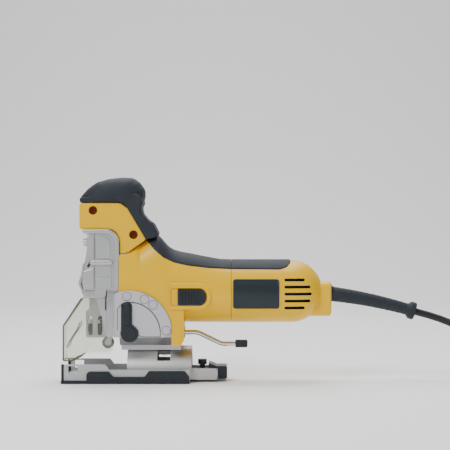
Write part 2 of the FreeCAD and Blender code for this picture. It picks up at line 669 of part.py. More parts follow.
def housing_inset():
    """The housing's form a rubber skin's thickness below its outer surface."""
    skin = S.skin
    block = rounded(prism(front_block(skin * 1.2), S.body_half - skin), 8,
                    lambda c, e: c.z > 116 and abs(abs(c.y) - (S.body_half - skin).value) < 0.1
                    and e.Length > 1)
    return fuse(block, cylinder(S.barrel_radius - skin, 11, 162, MOTOR))


def make_grip_strips():
    front = cut(common(rubber_space(as_size(20.2), S.housing_split), strip_outer()), housing_inset())
    piece(front, "grip_strip_front")
    rear = cut(common(rubber_space(S.housing_split, as_size(166.5)),
                      cylinder(S.barrel_radius, 100, 80, MOTOR)),
               cylinder(S.barrel_radius - S.skin, 99, 90, MOTOR))
    piece(rear, "grip_strip_rear")


def domed(radius, start, rear):
    """A solid of revolution about the motor's axis: a barrel from start that ends in a half ball."""
    low = S.barrel_height
    half = [(start, low), (rear, low), (rear, low + as_size(radius), radius - 0.05), (start, low + as_size(radius))]
    result = doc.addObject("Part::Revolution", "barrel_and_dome")
    result.Source = profile(half, "XZ")
    result.Axis = Vector(1, 0, 0)
    result.Angle = 360
    result.Solid = True
    bind(result, Base__z=low)
    return result


def make_rear_housing():
    bore = S.barrel_radius - S.wall
    barrel = domed(S.barrel_radius, S.housing_split, S.dome_centre + S.barrel_radius)
    boss = prism([(180, 66, 4), (207.5, 66, 4), (207.5, 101, 5), (188, 101, 4)], 13)
    hollow = domed(bore, S.housing_split - 1, S.dome_centre + bore)
    spider = ring(bore + 0.5, S.rear_bearing_radius, S.rear_bearing + 2, 3, MOTOR)
    seat = ring(S.rear_bearing_radius + 3, S.rear_bearing_radius + 0.02, S.rear_bearing, S.bearing_width, MOTOR)
    air = []
    for i in range(6):
        hole = cylinder(5.5, 120, 60, (0, S.barrel_height + 20))
        air.append(turned(hole, Vector(1, 0, 0), 60 * i + 30, (0, 0, S.barrel_height)))
    carrier = fuse(cut(spider, group(*air)), seat)
    vents = []
    for i, length in enumerate((20.6, 26.3, 27.6, 26.3, 20.6)):
        z = S.barrel_height + 12.2 - 7 * i - 1.2
        vents.append(slab(60, (158.9, 158.9 + as_size(length)), (z, z + 3)))
    bed = cut(rubber_space(S.housing_split - 1, as_size(166.5)),
              cylinder(S.barrel_radius - S.skin, 99, 90, MOTOR))
    cord_bore = cylinder(7.7, 188, 30, (0, S.barrel_height - 2.5))
    body = cut(fuse(cut(fuse(barrel, boss), hollow), carrier), group(*vents), bed, cord_bore)
    piece(body, "rear_housing")
    plates = []
    for side in (-1, 1):
        tile = span_prism([(107.5, 73.8, 2.5), (153.8, 73.8, 2.5), (153.8, 104.3, 2.5), (107.5, 104.3, 2.5)],
                          -40 if side < 0 else 20, -20 if side < 0 else 40)
        skin = ring(S.barrel_radius + 0.8, S.barrel_radius + 0.1, 100, 60, MOTOR)
        plates.append(common(skin, tile))
    piece(group(*plates), "label_plates")


def make_neck():
    outline = [(-44.7, 180.3, 2), (-6.3, 180.3, 8), (1.5, 174.6), (19.4, 144.2, 2), (9.9, 136.7), (3.2, 131.4),
               (S.case_face + 0.2, 129.7), (S.case_face + 0.2, HEAD_TOP + 0.1, 12),
               (-43.5, HEAD_TOP + 0.1)]
    outer = rounded(prism(outline, S.neck_half), 7,
                    lambda c, e: abs(abs(c.y) - S.neck_half.value) < 0.1 and e.Length > 12 and c.z > 155)
    room = prism([(-41.5, 176.5), (-7.5, 176.5), (-1.5, 172), (12, 149), (4, 143), (-3, 145), (-9, 156.5),
                  (-41.5, 156.5)], S.neck_half - 3)
    plunger_way = cylinder(S.plunger_radius + 1.5, 150, 25, BLADE, "Z")
    shell = cut(outer, room, rubber_core())
    recess = group(*[cylinder(4.3, -40, 40 - S.neck_half + 6, at, "Y") for at in NECK_SCREWS])
    through = group(*[cylinder(2.1, -40, 80, at, "Y") for at in NECK_SCREWS])
    bosses = cut(fuse(shell, common(fuse(*[cylinder(6, -S.neck_half + 1, (S.neck_half - 1) * 2, at, "Y")
                                           for at in NECK_SCREWS]), outer)), recess, through, plunger_way)
    piece(common(bosses, box((-60, 40), (-40, 0), (100, 200))), "neck_cover_left")
    piece(common(bosses, box((-60, 40), (0, 40), (100, 200))), "neck_cover_right")
    screws = []
    for at in NECK_SCREWS:
        head = cylinder(3.9, -S.neck_half + 3.4, 2.6, at, "Y")
        head = cut(head, box((at[0] - 2.6, at[0] + 2.6), (-S.neck_half, -S.neck_half + 4.6),
                             (at[1] - 0.4, at[1] + 0.4)))
        screws.append(fuse(head, cylinder(2, -S.neck_half + 6, 40, at, "Y")))
    piece(group(*screws), "neck_screws")


NECK_SCREWS = [(as_size(-33), as_size(173)), (as_size(7.6), as_size(148.6))]


def rubber_core():
    """Space of the palm knob's rear apron behind the neck."""
    return prism([(-5.5, 181), (2.2, 175.4), (20.4, 144.8), (40, 150), (40, 190), (-5.5, 190)], 40)


def make_palm_grip():
    outline = [(-44.3, 180.4), (-44.6, 187.1, 6), (-37.5, 195.5, 8), (-29, 202.6, 9), (-6, 206.7, 20),
               (8, 206, 8), (18.2, 195, 8), (18, 183, 8), (14.4, 174.8, 4), (18.6, 166, 6), (27, 160.5, 5),
               (31.4, 150), (31, 147), (20.6, 144.6), (2, 175.4), (-5.8, 180.4)]
    side = prism(outline, S.knob_half)
    front = span_prism([(-S.knob_half + 4, 140), (-S.knob_half + 4, 172, 4), (-S.knob_half, 182, 8),
                        (-20, 206.8, 18), (20, 206.8, 18), (S.knob_half, 182, 8),
                        (S.knob_half - 4, 172, 4), (S.knob_half - 4, 140)],
                       -50, 40, "YZ")
    knob = common(side, front)
    hollow = slab(9, (-38, -6), (175, 188))
    piece(cut(knob, hollow), "palm_grip")


# ---------------------------------------------------------------- controls
def make_controls():
    face = -S.barrel_radius - 1.3
    button = box((S.switch_front, S.switch_rear), (face, -S.barrel_radius + 0.3), (77.9, 94.9))
    ribs = [box((S.switch_front + 4 + 3 * i, S.switch_front + 5.4 + 3 * i), (face - 0.5, face + 0.6), (80, 92.8))
            for i in range(7)]
    stem = box((64.5, 74), (-S.barrel_radius, -S.stator_flat - 1.2), (83, 90))
    piece(fuse(button, stem, *ribs), "slide_switch_button")
    link = (-S.stator_flat - 1.9, -S.stator_flat - 0.5)
    rail = cut(box((60, 120), link, (83.5, 89.5)), box((64.4, 74.1), (-40, 0), (82, 91)))
    bridge = box((60, 76), (-S.stator_flat - 1.1, -S.stator_flat - 0.5), (83.5, 89.5))
    tab = box((118, 119.5), (-S.stator_flat - 1.9, -19), (83.5, 89.5))
    piece(fuse(rail, bridge, tab), "switch_link")
    module = box((123, 143), (-23.5, -13.5), (S.barrel_height - 15.7, S.barrel_height + 15.7))
    piece(fuse(module, cylinder(1.6, 119.8, 4, (-21, 86.5))), "switch_module")

    centre = (S.scale_line, S.scale_height)
    outer = -S.body_half - S.scale_thickness
    hub = cylinder(8.8, outer - 2.5, 4.2, centre, "Y")
    arm = span_prism([(-4.2, 50), (-4.2, 80.8, 3), (6.8, 80.8, 3), (6.8, 50)], outer - 2.5, outer - 0.2)
    pad = span_prism([(-2.8, 58, 3.9), (-2.8, 79.9, 3.9), (5.3, 79.9, 3.9), (5.3, 58, 3.9)],
                     outer - 4.2, outer - 2.5)
    stem = cylinder(2.9, outer, 30, centre, "Y")
    piece(fuse(hub, arm, pad, stem), "orbit_selector")
    cam = cut(cylinder(6, outer + 30, 10, centre, "Y"),
              box((S.scale_line - 10, S.scale_line - 4.2), (-20, 20), (40, 60)))
    piece(cam, "orbit_cam")


# ---------------------------------------------------------------- base
def make_base():
    base_low = S.sole_thickness
    base_top = base_low + S.plate_thickness
    cover_plate = plate_body("sole_plate", [(-S.sole_half_length, -S.sole_half_width, 4),
                                            (S.sole_half_length, -S.sole_half_width, 4),
                                            (S.sole_half_length, S.sole_half_width, 4),
                                            (-S.sole_half_length, S.sole_half_width, 4)],
                             "XY_Plane", 0, base_low)
    flap = [(-S.sole_half_length, 0.5), (S.sole_half_length, 0.5), (S.sole_half_length, 7), (59.7, 12.8, 3),
            (23.5, 12.8, 2), (19.5, 7, 2), (-11.5, 7, 2), (-16, 12.3, 2), (-38.5, 12.3, 4), (-38.5, 3.3),
            (-S.sole_half_length, 3.3)]
    flaps = cut(prism(flap, S.sole_half_width), slab(S.rail_half + 0.2, (-80, 80), (-5, 30)))
    lip = cut(slab(S.sole_half_width - 4, (-S.sole_half_length, -61.1), (0, 19.3)),
              slab(S.rail_half - S.rail_width - 1, (-80, -60), (base_top, 30)))
    blade_way = slab(S.slot_half, (-52, -12), (-5, 40))
    cover = cut(fuse(cover_plate, flaps, lip), blade_way)
    piece(cover, "sole_cover")

    plate = plate_body("shoe_plate", [(-61, -S.rail_half, 3), (64.2, -S.rail_half, 3), (64.2, -20), (92, -20, 4),
                                      (92, 20, 4), (64.2, 20), (64.2, S.rail_half, 3), (-61, S.rail_half, 3)],
                       "XY_Plane", base_low, S.plate_thickness)
    rail = [(-61, base_low), (64.2, base_low), (64.2, 13.9), (-16, 13.9), (-20, 19.3), (-61, 19.3, 2)]
    rails = cut(prism(rail, S.rail_half), slab(S.rail_half - S.rail_width, (-80, 80), (-5, 40)))
    tail = [(64.2, base_low), (92, base_low + 2.5, 2), (92, 13.8, 2), (64.2, 14)]
    tails = cut(prism(tail, 20), slab(17, (-80, 110), (base_top, 40)))
    fence_way = slab(60, (-56.7, -47.5), (9.8, 17.6))
    shoe = cut(fuse(plate, rails, tails), fence_way, blade_way,
               box((60, 120), (-40, 40), (0, base_low)))
    piece(shoe, "shoe")
    axis = (0, S.bevel_height)
    length = S.hump_rear - S.hump_front
    tube = ring(S.hump_radius, S.hump_radius - S.hump_wall, S.hump_front, length, axis)
    end_wall = cylinder(S.hump_radius - 1, S.hump_front, 2, axis)
    hump = cut(fuse(tube, end_wall), slab(60, (-10, 100), (-60, base_top)),
               slab(60, (S.bolt_line - 6.5, S.bolt_line + 6.5), (base_top + 15.5, 60)))
    piece(hump, "bevel_cylinder")

    saddle_ring = cut(slab(S.saddle_half, (-5, 55), (28, S.saddle_top)),
                      cylinder(S.hump_radius + S.play, -20, 100, axis),
                      cylinder(S.bolt_radius + 0.6, 20, 40, (S.bolt_line, 0), "Z"))
    piece(saddle_ring, "bevel_saddle")
    inside = S.hump_radius - S.hump_wall - 2 * S.play
    grip = common(cut(cylinder(inside, S.bolt_line - 9, 18, axis),
                      cylinder(inside - 3.5, 0, 100, axis)),
                  slab(8, (0, 100), (20, 60)))
    piece(cut(grip, cylinder(S.bolt_radius + 0.05, 10, 40, (S.bolt_line, 0), "Z")), "bevel_clamp_plate")
    bolt = fuse(cylinder(S.bolt_radius, 26, S.lever_height - 26, (S.bolt_line, 0), "Z"),
                cylinder(5.2, S.saddle_top + 3.2, S.lever_height - S.saddle_top - 0.4, (S.bolt_line, 0), "Z"))
    piece(bolt, "bevel_clamp_bolt")

    port = prism([(82.6, 2.9, 1), (101.7, 2.9, 2), (101.7, 15.8, 2), (91.4, 15.8), (83, 19.1, 1)], 15)
    port_bore = slab(12.6, (80, 110), (5.2, 13.4))
    piece(cut(cut(port, port_bore), slab(20.2, (60, 92.2), (-5, 14.2))), "dust_adapter")
    knob = fuse(cylinder(4.5, 16.6, 5.2, (76.5, 0), "Z"), cylinder(2.5, base_top, 11, (76.5, 0), "Z"))
    piece(knob, "adapter_knob")


def make_clamp_lever():
    """Chrome rod bent by two small turns, from the bolt's head out under the barrel."""
    points = [Vector(*(as_size(c).value for c in at)) for at in
              ((S.bolt_line + 5, 0, S.lever_height), (S.bolt_line + 34, 0, S.lever_height),
               (S.bolt_line + 58.2, -2, S.lever_height - 11.4), (S.bolt_line + 73, -2, S.lever_height - 11.4))]
    rod = doc.addObject("Part::Feature", "clamp_lever")
    rod.Shape = tube_along(points, [12, 12], S.lever_radius.value)
    piece(rod, "clamp_lever")
    end = points[-1]
    tip = cylinder(4, end.x - 1, 12.5, (end.y, end.z))
    piece(cut(rounded(tip, 1.5, lambda c, e: c.x > end.x + 5 and e.Length > 15),
              cylinder(S.lever_radius, end.x - 3, 3, (end.y, end.z))), "clamp_lever_tip")


def tube_along(points, radii, radius):
    """A round bar along straight runs joined by tangent arcs."""
    edges = []
    here = points[0]
    for i in range(1, len(points) - 1):
        before = (points[i] - points[i - 1]).normalize()
        after = (points[i + 1] - points[i]).normalize()
        half = before.getAngle(after) / 2
        back = radii[i - 1] * math.tan(half)
        start = points[i] - before * back
        end = points[i] + after * back
        inward = (after - before).normalize()
        centre = points[i] + inward * (radii[i - 1] / math.cos(half))
        middle = centre - inward * radii[i - 1]
        edges.append(Part.LineSegment(here, start).toShape())
        edges.append(Part.Arc(start, middle, end).toShape())
        here = end
    edges.append(Part.LineSegment(here, points[-1]).toShape())
    path = Part.Wire(edges)
    first = (points[1] - points[0]).normalize()
    ring_edge = Part.Circle(points[0], first, radius).toShape()
    shape = path.makePipeShell([Part.Wire([ring_edge])], True, False)
    swept = math.pi * radius ** 2 * path.Length
    if abs(shape.Volume - swept) > 0.01 * swept:
        raise ValueError("a swept bar lost volume")
    return shape


def make_dust_guard():
    """Clear U-shaped guard round the blade, clipped to the guide bracket."""
    side = [(-64.9, 20.4, 2), (-56, 20.4), (-40, 28.3), (-15.5, 28.3, 2), (-15.5, 43.6), (-21, 44.6),
            (-24, 56), (-30, 82),
            (-44, 84.2), (-46, 84.2), (-64.9, 56.6, 2)]
    outer = prism(side, 13.5)
    inner_side = [(-62.9, 10), (-62.9, 56), (-45, 82.2), (-45, 90), (0, 90), (0, 10)]
    pin = (as_size(-49.2), as_size(66.3))
    buttons = [cylinder(1.8, start, 1, pin, "Y") for start in (-14.3, 13.3)]
    piece(fuse(cut(outer, prism(inner_side, 11.4)), *buttons), "dust_guard")


# ---------------------------------------------------------------- cord
def cord_route():
    """Hand-chosen points of the free cord from the strain relief to the coil."""
    slope = math.radians(14)
    start = Vector(293, 0, 70.2)
    second = start + Vector(math.cos(slope), 0, -math.sin(slope)) * 30
    return [start, second, Vector(347, -16, 48.5), Vector(376, -44, 31.5), Vector(405, -48.3, 25.2)]


def make_strain_relief():
    """Boot from the cable boss to the flared end, bent gently downward."""
    route = [Vector(205, 0, 88.5), Vector(247, 0, 82.4), Vector(293, 0, 70.2)]
    first = (route[1] - route[0]).normalize()
    second = (route[2] - route[1]).normalize()
    boot = doc.addObject("Part::Feature", "boot")
    sections = []
    for at, along, radius in ((route[0], first, 7.6), (route[1], (first + second).normalize(), 6.7),
                              (route[2] - second * 8.5, second, 5.7)):
        sections.append(Part.Wire([Part.Circle(at, along, radius).toShape()]))
    body = Part.makeLoft(sections, True, False)
    flare = Part.makeCone(5.7, 8.9, 4, route[2] - second * 8.5, second)
    collar = Part.makeCylinder(8.9, 4.5, route[2] - second * 4.5, second)
    stub = Part.makeCylinder(5, 21, route[0] - first * 21, first)
    boot.Shape = body.fuse([flare, collar, stub]).removeSplitter()
    piece(boot, "strain_relief")


def make_cord():
    points = cord_route()
    radii = []
    for i in range(1, len(points) - 1):
        before = points[i] - points[i - 1]
        after = points[i + 1] - points[i]
        half = before.getAngle(after) / 2
        radii.append(0.45 * min(before.Length, after.Length) / math.tan(half))
    print("cord radii, mm:", [round(r, 1) for r in radii])
    cord = doc.addObject("Part::Feature", "power_cord")
    cord.Shape = tube_along(points, radii, S.cord_radius.value)
    piece(cord, "power_cord")
    free = sum((b - a).Length for a, b in zip(points, points[1:]))
    turns = (S.cord_length.value - free) / (2 * math.pi * S.coil_mean.value)
    print("cord: free run", round(free, 1), "mm, coil turns", round(turns, 2))
    reach = S.coil_columns * S.coil_pitch / 2
    coil = ring(S.coil_mean + reach, S.coil_mean - reach, 0, S.coil_layers * S.coil_pitch,
                (S.coil_x, 0), "Z")
    piece(coil, "power_cord_coil")
    top = S.coil_layers * S.coil_pitch
    across = S.coil_mean
    plug_x = S.coil_x - 30
    body = rounded(box((plug_x, plug_x + 36), (across - 12.5, across + 12.5), (top, top + 13)), 4,
                   lambda c, e: True)
    grip = cone(4.6, 6, plug_x + 35, 12, (across, top + 6.5))
    piece(fuse(body, grip), "plug_body")
    pins = [cylinder(2, plug_x - 19, 19, (across + y, top + 6.5)) for y in (-9.3, 9.3)]
    piece(group(*pins), "plug_pins")


gear_axle = make_gear_train()
make_motor()
cover_screws = case_screws()
make_gear_case(cover_screws)
make_front_cover(cover_screws)
make_scale_plate()
make_blade_drive()
pendulum_pin = make_pendulum()
lever_pin = make_release_lever()
piece(group(gear_axle, pendulum_pin, lever_pin), "pivot_pins")
make_front_housing()
make_grip_strips()
make_rear_housing()
make_neck()
make_palm_grip()
make_controls()
make_base()
make_clamp_lever()
make_dust_guard()
make_strain_relief()
make_cord()
doc.recompute()

failed = [f"{obj.Name} ({obj.Label})" for obj in doc.Objects
          if "Invalid" in obj.State or "Error" in obj.State]
if failed:
    raise RuntimeError("failed objects: " + ", ".join(failed))
os.makedirs("parts", exist_ok=True)
for obj in pieces:
    shape = obj.Shape
    if shape.isNull() or not shape.isValid() or not shape.Solids:
        raise RuntimeError(f"{obj.Label} has no valid solid")
    shape.exportStep(f"parts/{obj.Label}.step")
    print(f"{obj.Label:24s} solids {len(shape.Solids)} volume {shape.Volume:10.1f}")
print(len(pieces), "nodes")
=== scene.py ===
import json
import math

import bmesh
import bpy
import numpy as np
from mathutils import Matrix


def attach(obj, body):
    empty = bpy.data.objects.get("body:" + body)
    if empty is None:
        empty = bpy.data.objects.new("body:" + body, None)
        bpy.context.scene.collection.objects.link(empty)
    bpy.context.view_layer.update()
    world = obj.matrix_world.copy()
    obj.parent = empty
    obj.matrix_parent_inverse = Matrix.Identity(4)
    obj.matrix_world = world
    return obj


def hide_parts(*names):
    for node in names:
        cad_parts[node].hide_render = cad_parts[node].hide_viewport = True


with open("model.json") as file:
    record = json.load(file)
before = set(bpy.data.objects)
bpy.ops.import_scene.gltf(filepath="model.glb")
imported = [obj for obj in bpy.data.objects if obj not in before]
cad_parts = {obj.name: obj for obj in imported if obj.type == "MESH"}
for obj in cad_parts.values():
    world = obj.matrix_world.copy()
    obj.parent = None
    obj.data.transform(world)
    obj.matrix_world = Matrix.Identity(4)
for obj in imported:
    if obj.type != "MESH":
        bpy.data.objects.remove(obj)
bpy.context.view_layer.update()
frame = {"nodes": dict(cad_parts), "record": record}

# Corded barrel-grip jigsaw. Lengths below are in millimetres and MM turns them into metres.
# +X points to the rear, +Y to the far side and +Z up. The blade's plane is y = 0.
MM = 0.001

BARREL_RADIUS = 31.5
BARREL_HEIGHT = 91.0
SPLIT = 105.8
DOME_CENTRE = 167.0
SKIRT_REAR = 58.3
SCALE_CENTRE = (4.0, 50.3)
SCALE_RADIUS = 42.6
HOUSING_WALL = 2.4
# Half of the gap that is left where the two housings meet.
HALF_SEAM = 0.2
# How far the colour noise repeats, the radius that edges are softened by, and how strongly plastic shines.
BLOTCH = 40.0
SOFT_EDGE = 0.35
GLOSS = 0.3


# ---------------------------------------------------------------- making meshes
def make_object(name, verts, faces, body, slot, sharp=35):
    """A smooth-shaded mesh piece in metres, sharp where its faces turn by more than sharp degrees."""
    mesh = bpy.data.meshes.new(name)
    mesh.from_pydata([tuple(v) for v in np.asarray(verts) * MM], [], [tuple(f) for f in faces])
    mesh.validate()
    mesh.update()
    mesh.polygons.foreach_set("use_smooth", np.ones(len(mesh.polygons), bool))
    mesh.set_sharp_from_angle(angle=math.radians(sharp))
    piece = bpy.data.objects.new(name, mesh)
    bpy.context.scene.collection.objects.link(piece)
    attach(piece, body)
    piece.data.materials.append(FINISH[slot])
    return piece


def grid_faces(rows, columns, wrap_columns=False):
    """Quads of a grid of rows by columns, each joined to its neighbour."""
    r = np.arange(rows - 1)
    c = np.arange(columns if wrap_columns else columns - 1)
    r, c = np.meshgrid(r, c, indexing="ij")
    r2, c2 = r + 1, (c + 1) % columns
    quads = np.stack([r * columns + c, r * columns + c2, r2 * columns + c2, r2 * columns + c], -1)
    return quads.reshape(-1, 4).tolist()


def outward(piece):
    """Turn every face of a closed piece outward."""
    work = bmesh.new()
    work.from_mesh(piece.data)
    bmesh.ops.remove_doubles(work, verts=work.verts, dist=1e-6)
    bmesh.ops.recalc_face_normals(work, faces=work.faces)
    work.to_mesh(piece.data)
    work.free()
    piece.data.polygons.foreach_set("use_smooth", [len(face.vertices) <= 4 for face in piece.data.polygons])
    return piece


def rounded(points, steps=8):
    """A closed outline whose corners of radius r are tangent arcs. A point is (u, v) or (u, v, r)."""
    corner = [np.array(p[:2], float) for p in points]
    result = []
    for i, point in enumerate(points):
        here, before, after = corner[i], corner[i - 1], corner[(i + 1) % len(points)]
        radius = point[2] if len(point) > 2 else 0
        back = (before - here) / np.linalg.norm(before - here)
        ahead = (after - here) / np.linalg.norm(after - here)
        half = math.acos(np.clip(back @ ahead, -1, 1)) / 2
        if radius == 0 or half > 1.56:
            result.append(here[None])
            continue
        reach = min(radius / math.tan(half), 0.49 * np.linalg.norm(before - here),
                    0.49 * np.linalg.norm(after - here))
        start, end = here + back * reach, here + ahead * reach
        bow = (back + ahead) / np.linalg.norm(back + ahead)
        middle = here + bow * reach / math.cos(half)
        first = math.atan2(*(start - middle)[::-1])
        turn = (math.atan2(*(end - middle)[::-1]) - first + math.pi) % (2 * math.pi) - math.pi
        angle = first + turn * np.linspace(0, 1, steps)
        size = np.linalg.norm(start - middle)
        result.append(middle + size * np.stack([np.cos(angle), np.sin(angle)], 1))
    return np.concatenate(result)


def dense(outline, spacing=1.5):
    """The same closed outline with points at most one spacing apart."""
    ahead = np.roll(outline, -1, 0)
    counts = np.maximum(1, np.ceil(np.linalg.norm(ahead - outline, axis=1) / spacing)).astype(int)
    return np.concatenate([a + (b - a) * (np.arange(n) / n)[:, None]
                           for a, b, n in zip(outline, ahead, counts)])


def inset(outline, distance):
    """Each point moved inward along the mean of its two edge normals."""
    ahead = np.roll(outline, -1, 0) - outline
    ahead /= np.linalg.norm(ahead, axis=1)[:, None]
    tangent = ahead + np.roll(ahead, 1, 0)
    tangent /= np.linalg.norm(tangent, axis=1)[:, None]
    area = np.sum(outline[:, 0] * np.roll(outline[:, 1], -1) - np.roll(outline[:, 0], -1) * outline[:, 1])
    normal = np.stack([-tangent[:, 1], tangent[:, 0]], 1) * np.sign(area)
    return outline + normal * distance


PLANES = {"XZ": lambda u, v, w: (u, w, v), "XY": lambda u, v, w: (u, v, w),
          "YZ": lambda u, v, w: (w, u, v)}


def rolled_slab(name, outline, low, high, roll, body, slot, plane="XZ", roll_low=None, steps=6):
    """A slab of an outline whose rims roll over in quarter circles of radius roll."""
    base = np.asarray(outline, float)
    roll_low = roll if roll_low is None else roll_low
    turn = np.linspace(0, math.pi / 2, steps)
    loops = []
    for t in turn[::-1]:
        loops.append((inset(base, roll_low * (1 - math.cos(t))), low + roll_low * (1 - math.sin(t))))
    for t in turn:
        loops.append((inset(base, roll * (1 - math.cos(t))), high - roll * (1 - math.sin(t))))
    columns = len(base)
    verts = np.concatenate([np.stack(PLANES[plane](loop[:, 0], loop[:, 1], np.full(columns, level)), 1)
                            for loop, level in loops])
    faces = grid_faces(len(loops), columns, wrap_columns=True)
    faces += [list(range(columns)), list(range(len(verts) - columns, len(verts)))]
    return outward(make_object(name, verts, faces, body, slot))


def capsule(first, last, radius, steps=10):
    """Outline of a slot with round ends between two centres."""
    first, last = np.array(first, float), np.array(last, float)
    along = math.atan2(*(last - first)[::-1])
    turn = np.linspace(-math.pi / 2, math.pi / 2, steps)
    arcs = [centre + radius * np.stack([np.cos(base + turn), np.sin(base + turn)], 1)
            for centre, base in ((last, along), (first, along + math.pi))]
    return np.concatenate(arcs)


def disc(centre, radius, steps=40):
    """Outline of a circle: its centre plus radius times the cosine and sine of the turn."""
    turn = np.linspace(0, 2 * math.pi, steps, endpoint=False)
    return np.array(centre, float) + radius * np.stack([np.cos(turn), np.sin(turn)], 1)


def swept(name, path, radii, body, slot, around=32):
    """A tube with one radius per path point, its rings square to the path in the XZ plane's frame."""
    path = np.asarray(path, float)
    along = np.gradient(path, axis=0)
    along /= np.linalg.norm(along, axis=1)[:, None]
    side = np.cross(along, [0, 1, 0])
    side /= np.linalg.norm(side, axis=1)[:, None]
    up = np.cross(side, along)
    turn = np.linspace(0, 2 * math.pi, around, endpoint=False)
    ring = (side[:, None] * np.cos(turn)[:, None] + up[:, None] * np.sin(turn)[:, None])
    verts = (path[:, None] + ring * np.asarray(radii, float)[:, None, None]).reshape(-1, 3)
    faces = grid_faces(len(path), around, wrap_columns=True)
    faces += [list(range(around)), list(range(len(verts) - around, len(verts)))]
    return outward(make_object(name, verts, faces, body, slot))


def carve(piece, cutters):
    """Cut closed cutter pieces out of a piece, and delete the cutters."""
    for cutter in cutters:
        tool = piece.modifiers.new("cut", "BOOLEAN")
        tool.operation = "DIFFERENCE"
        tool.solver = "EXACT"
        tool.object = cutter
    applied(piece)
    for cutter in cutters:
        bpy.data.objects.remove(cutter, do_unlink=True)
    return piece


def applied(piece, sharp=35):
    """Bake a piece's modifiers into its mesh."""
    bpy.context.view_layer.update()
    graph = bpy.context.evaluated_depsgraph_get()
    baked = bpy.data.meshes.new_from_object(piece.evaluated_get(graph), depsgraph=graph)
    piece.modifiers.clear()
    piece.data = baked
    piece.data.set_sharp_from_angle(angle=math.radians(sharp))
    return piece


# ---------------------------------------------------------------- finishes
def new_material(name):
    """An empty node material, its nodes and its links."""
    material = bpy.data.materials.new(name)
    material.use_nodes = True
    return material, material.node_tree.nodes, material.node_tree.links


def speckle(nodes, links, place, scale, detail=3.0):
    """A noise pattern fixed to the object's own coordinates."""
    noise = nodes.new("ShaderNodeTexNoise")
    noise.inputs["Scale"].default_value = scale
    noise.inputs["Detail"].default_value = detail
    links.new(place.outputs["Object"], noise.inputs["Vector"])
    return noise


def ramp_of(nodes, links, source, stops):
    """A colour ramp driven by source, from (position, colour) stops."""
    ramp = nodes.new("ShaderNodeValToRGB")
    ramp.color_ramp.elements[0].position = stops[0][0]
    ramp.color_ramp.elements[0].color = (*stops[0][1], 1)
    ramp.color_ramp.elements[1].position = stops[-1][0]
    ramp.color_ramp.elements[1].color = (*stops[-1][1], 1)
    for position, colour in stops[1:-1]:
        ramp.color_ramp.elements.new(position).color = (*colour, 1)
    links.new(source, ramp.inputs["Fac"])
    return ramp


def shade(colour, factor):
    """A colour made lighter or darker by a factor."""
    return tuple(c * factor for c in colour)


def finish_of(name, colour, roughness, metallic=0.0, grain=900.0, bump=0.00003, mottle=0.08):
    """Base colour mottled by a coarse noise, roughness by a finer one, and a fine grain as bump
    on edges rounded by a small bevel."""
    material, nodes, links = new_material(name)
    shader = nodes["Principled BSDF"]
    place = nodes.new("ShaderNodeTexCoord")
    coarse = speckle(nodes, links, place, BLOTCH)
    tint = ramp_of(nodes, links, coarse.outputs["Fac"],
                   [(0.3, shade(colour, 1 - mottle)), (0.7, shade(colour, 1 + mottle))])
    links.new(tint.outputs["Color"], shader.inputs["Base Color"])
    fine = speckle(nodes, links, place, grain, 2.0)
    rough = nodes.new("ShaderNodeMapRange")
    rough.inputs["To Min"].default_value = max(0.03, roughness - 0.07)
    rough.inputs["To Max"].default_value = min(1.0, roughness + 0.07)
    links.new(fine.outputs["Fac"], rough.inputs["Value"])
    links.new(rough.outputs["Result"], shader.inputs["Roughness"])
    relief = nodes.new("ShaderNodeBump")
    relief.inputs["Strength"].default_value = 1.0
    relief.inputs["Distance"].default_value = bump
    links.new(fine.outputs["Fac"], relief.inputs["Height"])
    soft = nodes.new("ShaderNodeBevel")
    soft.samples = 4
    soft.inputs["Radius"].default_value = SOFT_EDGE * MM
    links.new(soft.outputs["Normal"], relief.inputs["Normal"])
    links.new(relief.outputs["Normal"], shader.inputs["Normal"])
    shader.inputs["Metallic"].default_value = metallic
    shader.inputs["Specular IOR Level"].default_value = GLOSS
    return material


def clear_plastic():
    """Clear moulded plastic with a faint olive body and fine scuffs."""
    material, nodes, links = new_material("clear_guard")
    shader = nodes["Principled BSDF"]
    place = nodes.new("ShaderNodeTexCoord")
    scuffs = speckle(nodes, links, place, 180)
    rough = nodes.new("ShaderNodeMapRange")
    rough.inputs["To Min"].default_value = 0.04
    rough.inputs["To Max"].default_value = 0.16
    links.new(scuffs.outputs["Fac"], rough.inputs["Value"])
    links.new(rough.outputs["Result"], shader.inputs["Roughness"])
    tint = ramp_of(nodes, links, scuffs.outputs["Fac"],
                   [(0.3, (0.84, 0.87, 0.80)), (0.7, (0.92, 0.93, 0.88))])
    links.new(tint.outputs["Color"], shader.inputs["Base Color"])
    shader.inputs["Transmission Weight"].default_value = 0.96
    shader.inputs["IOR"].default_value = 1.35
    return material


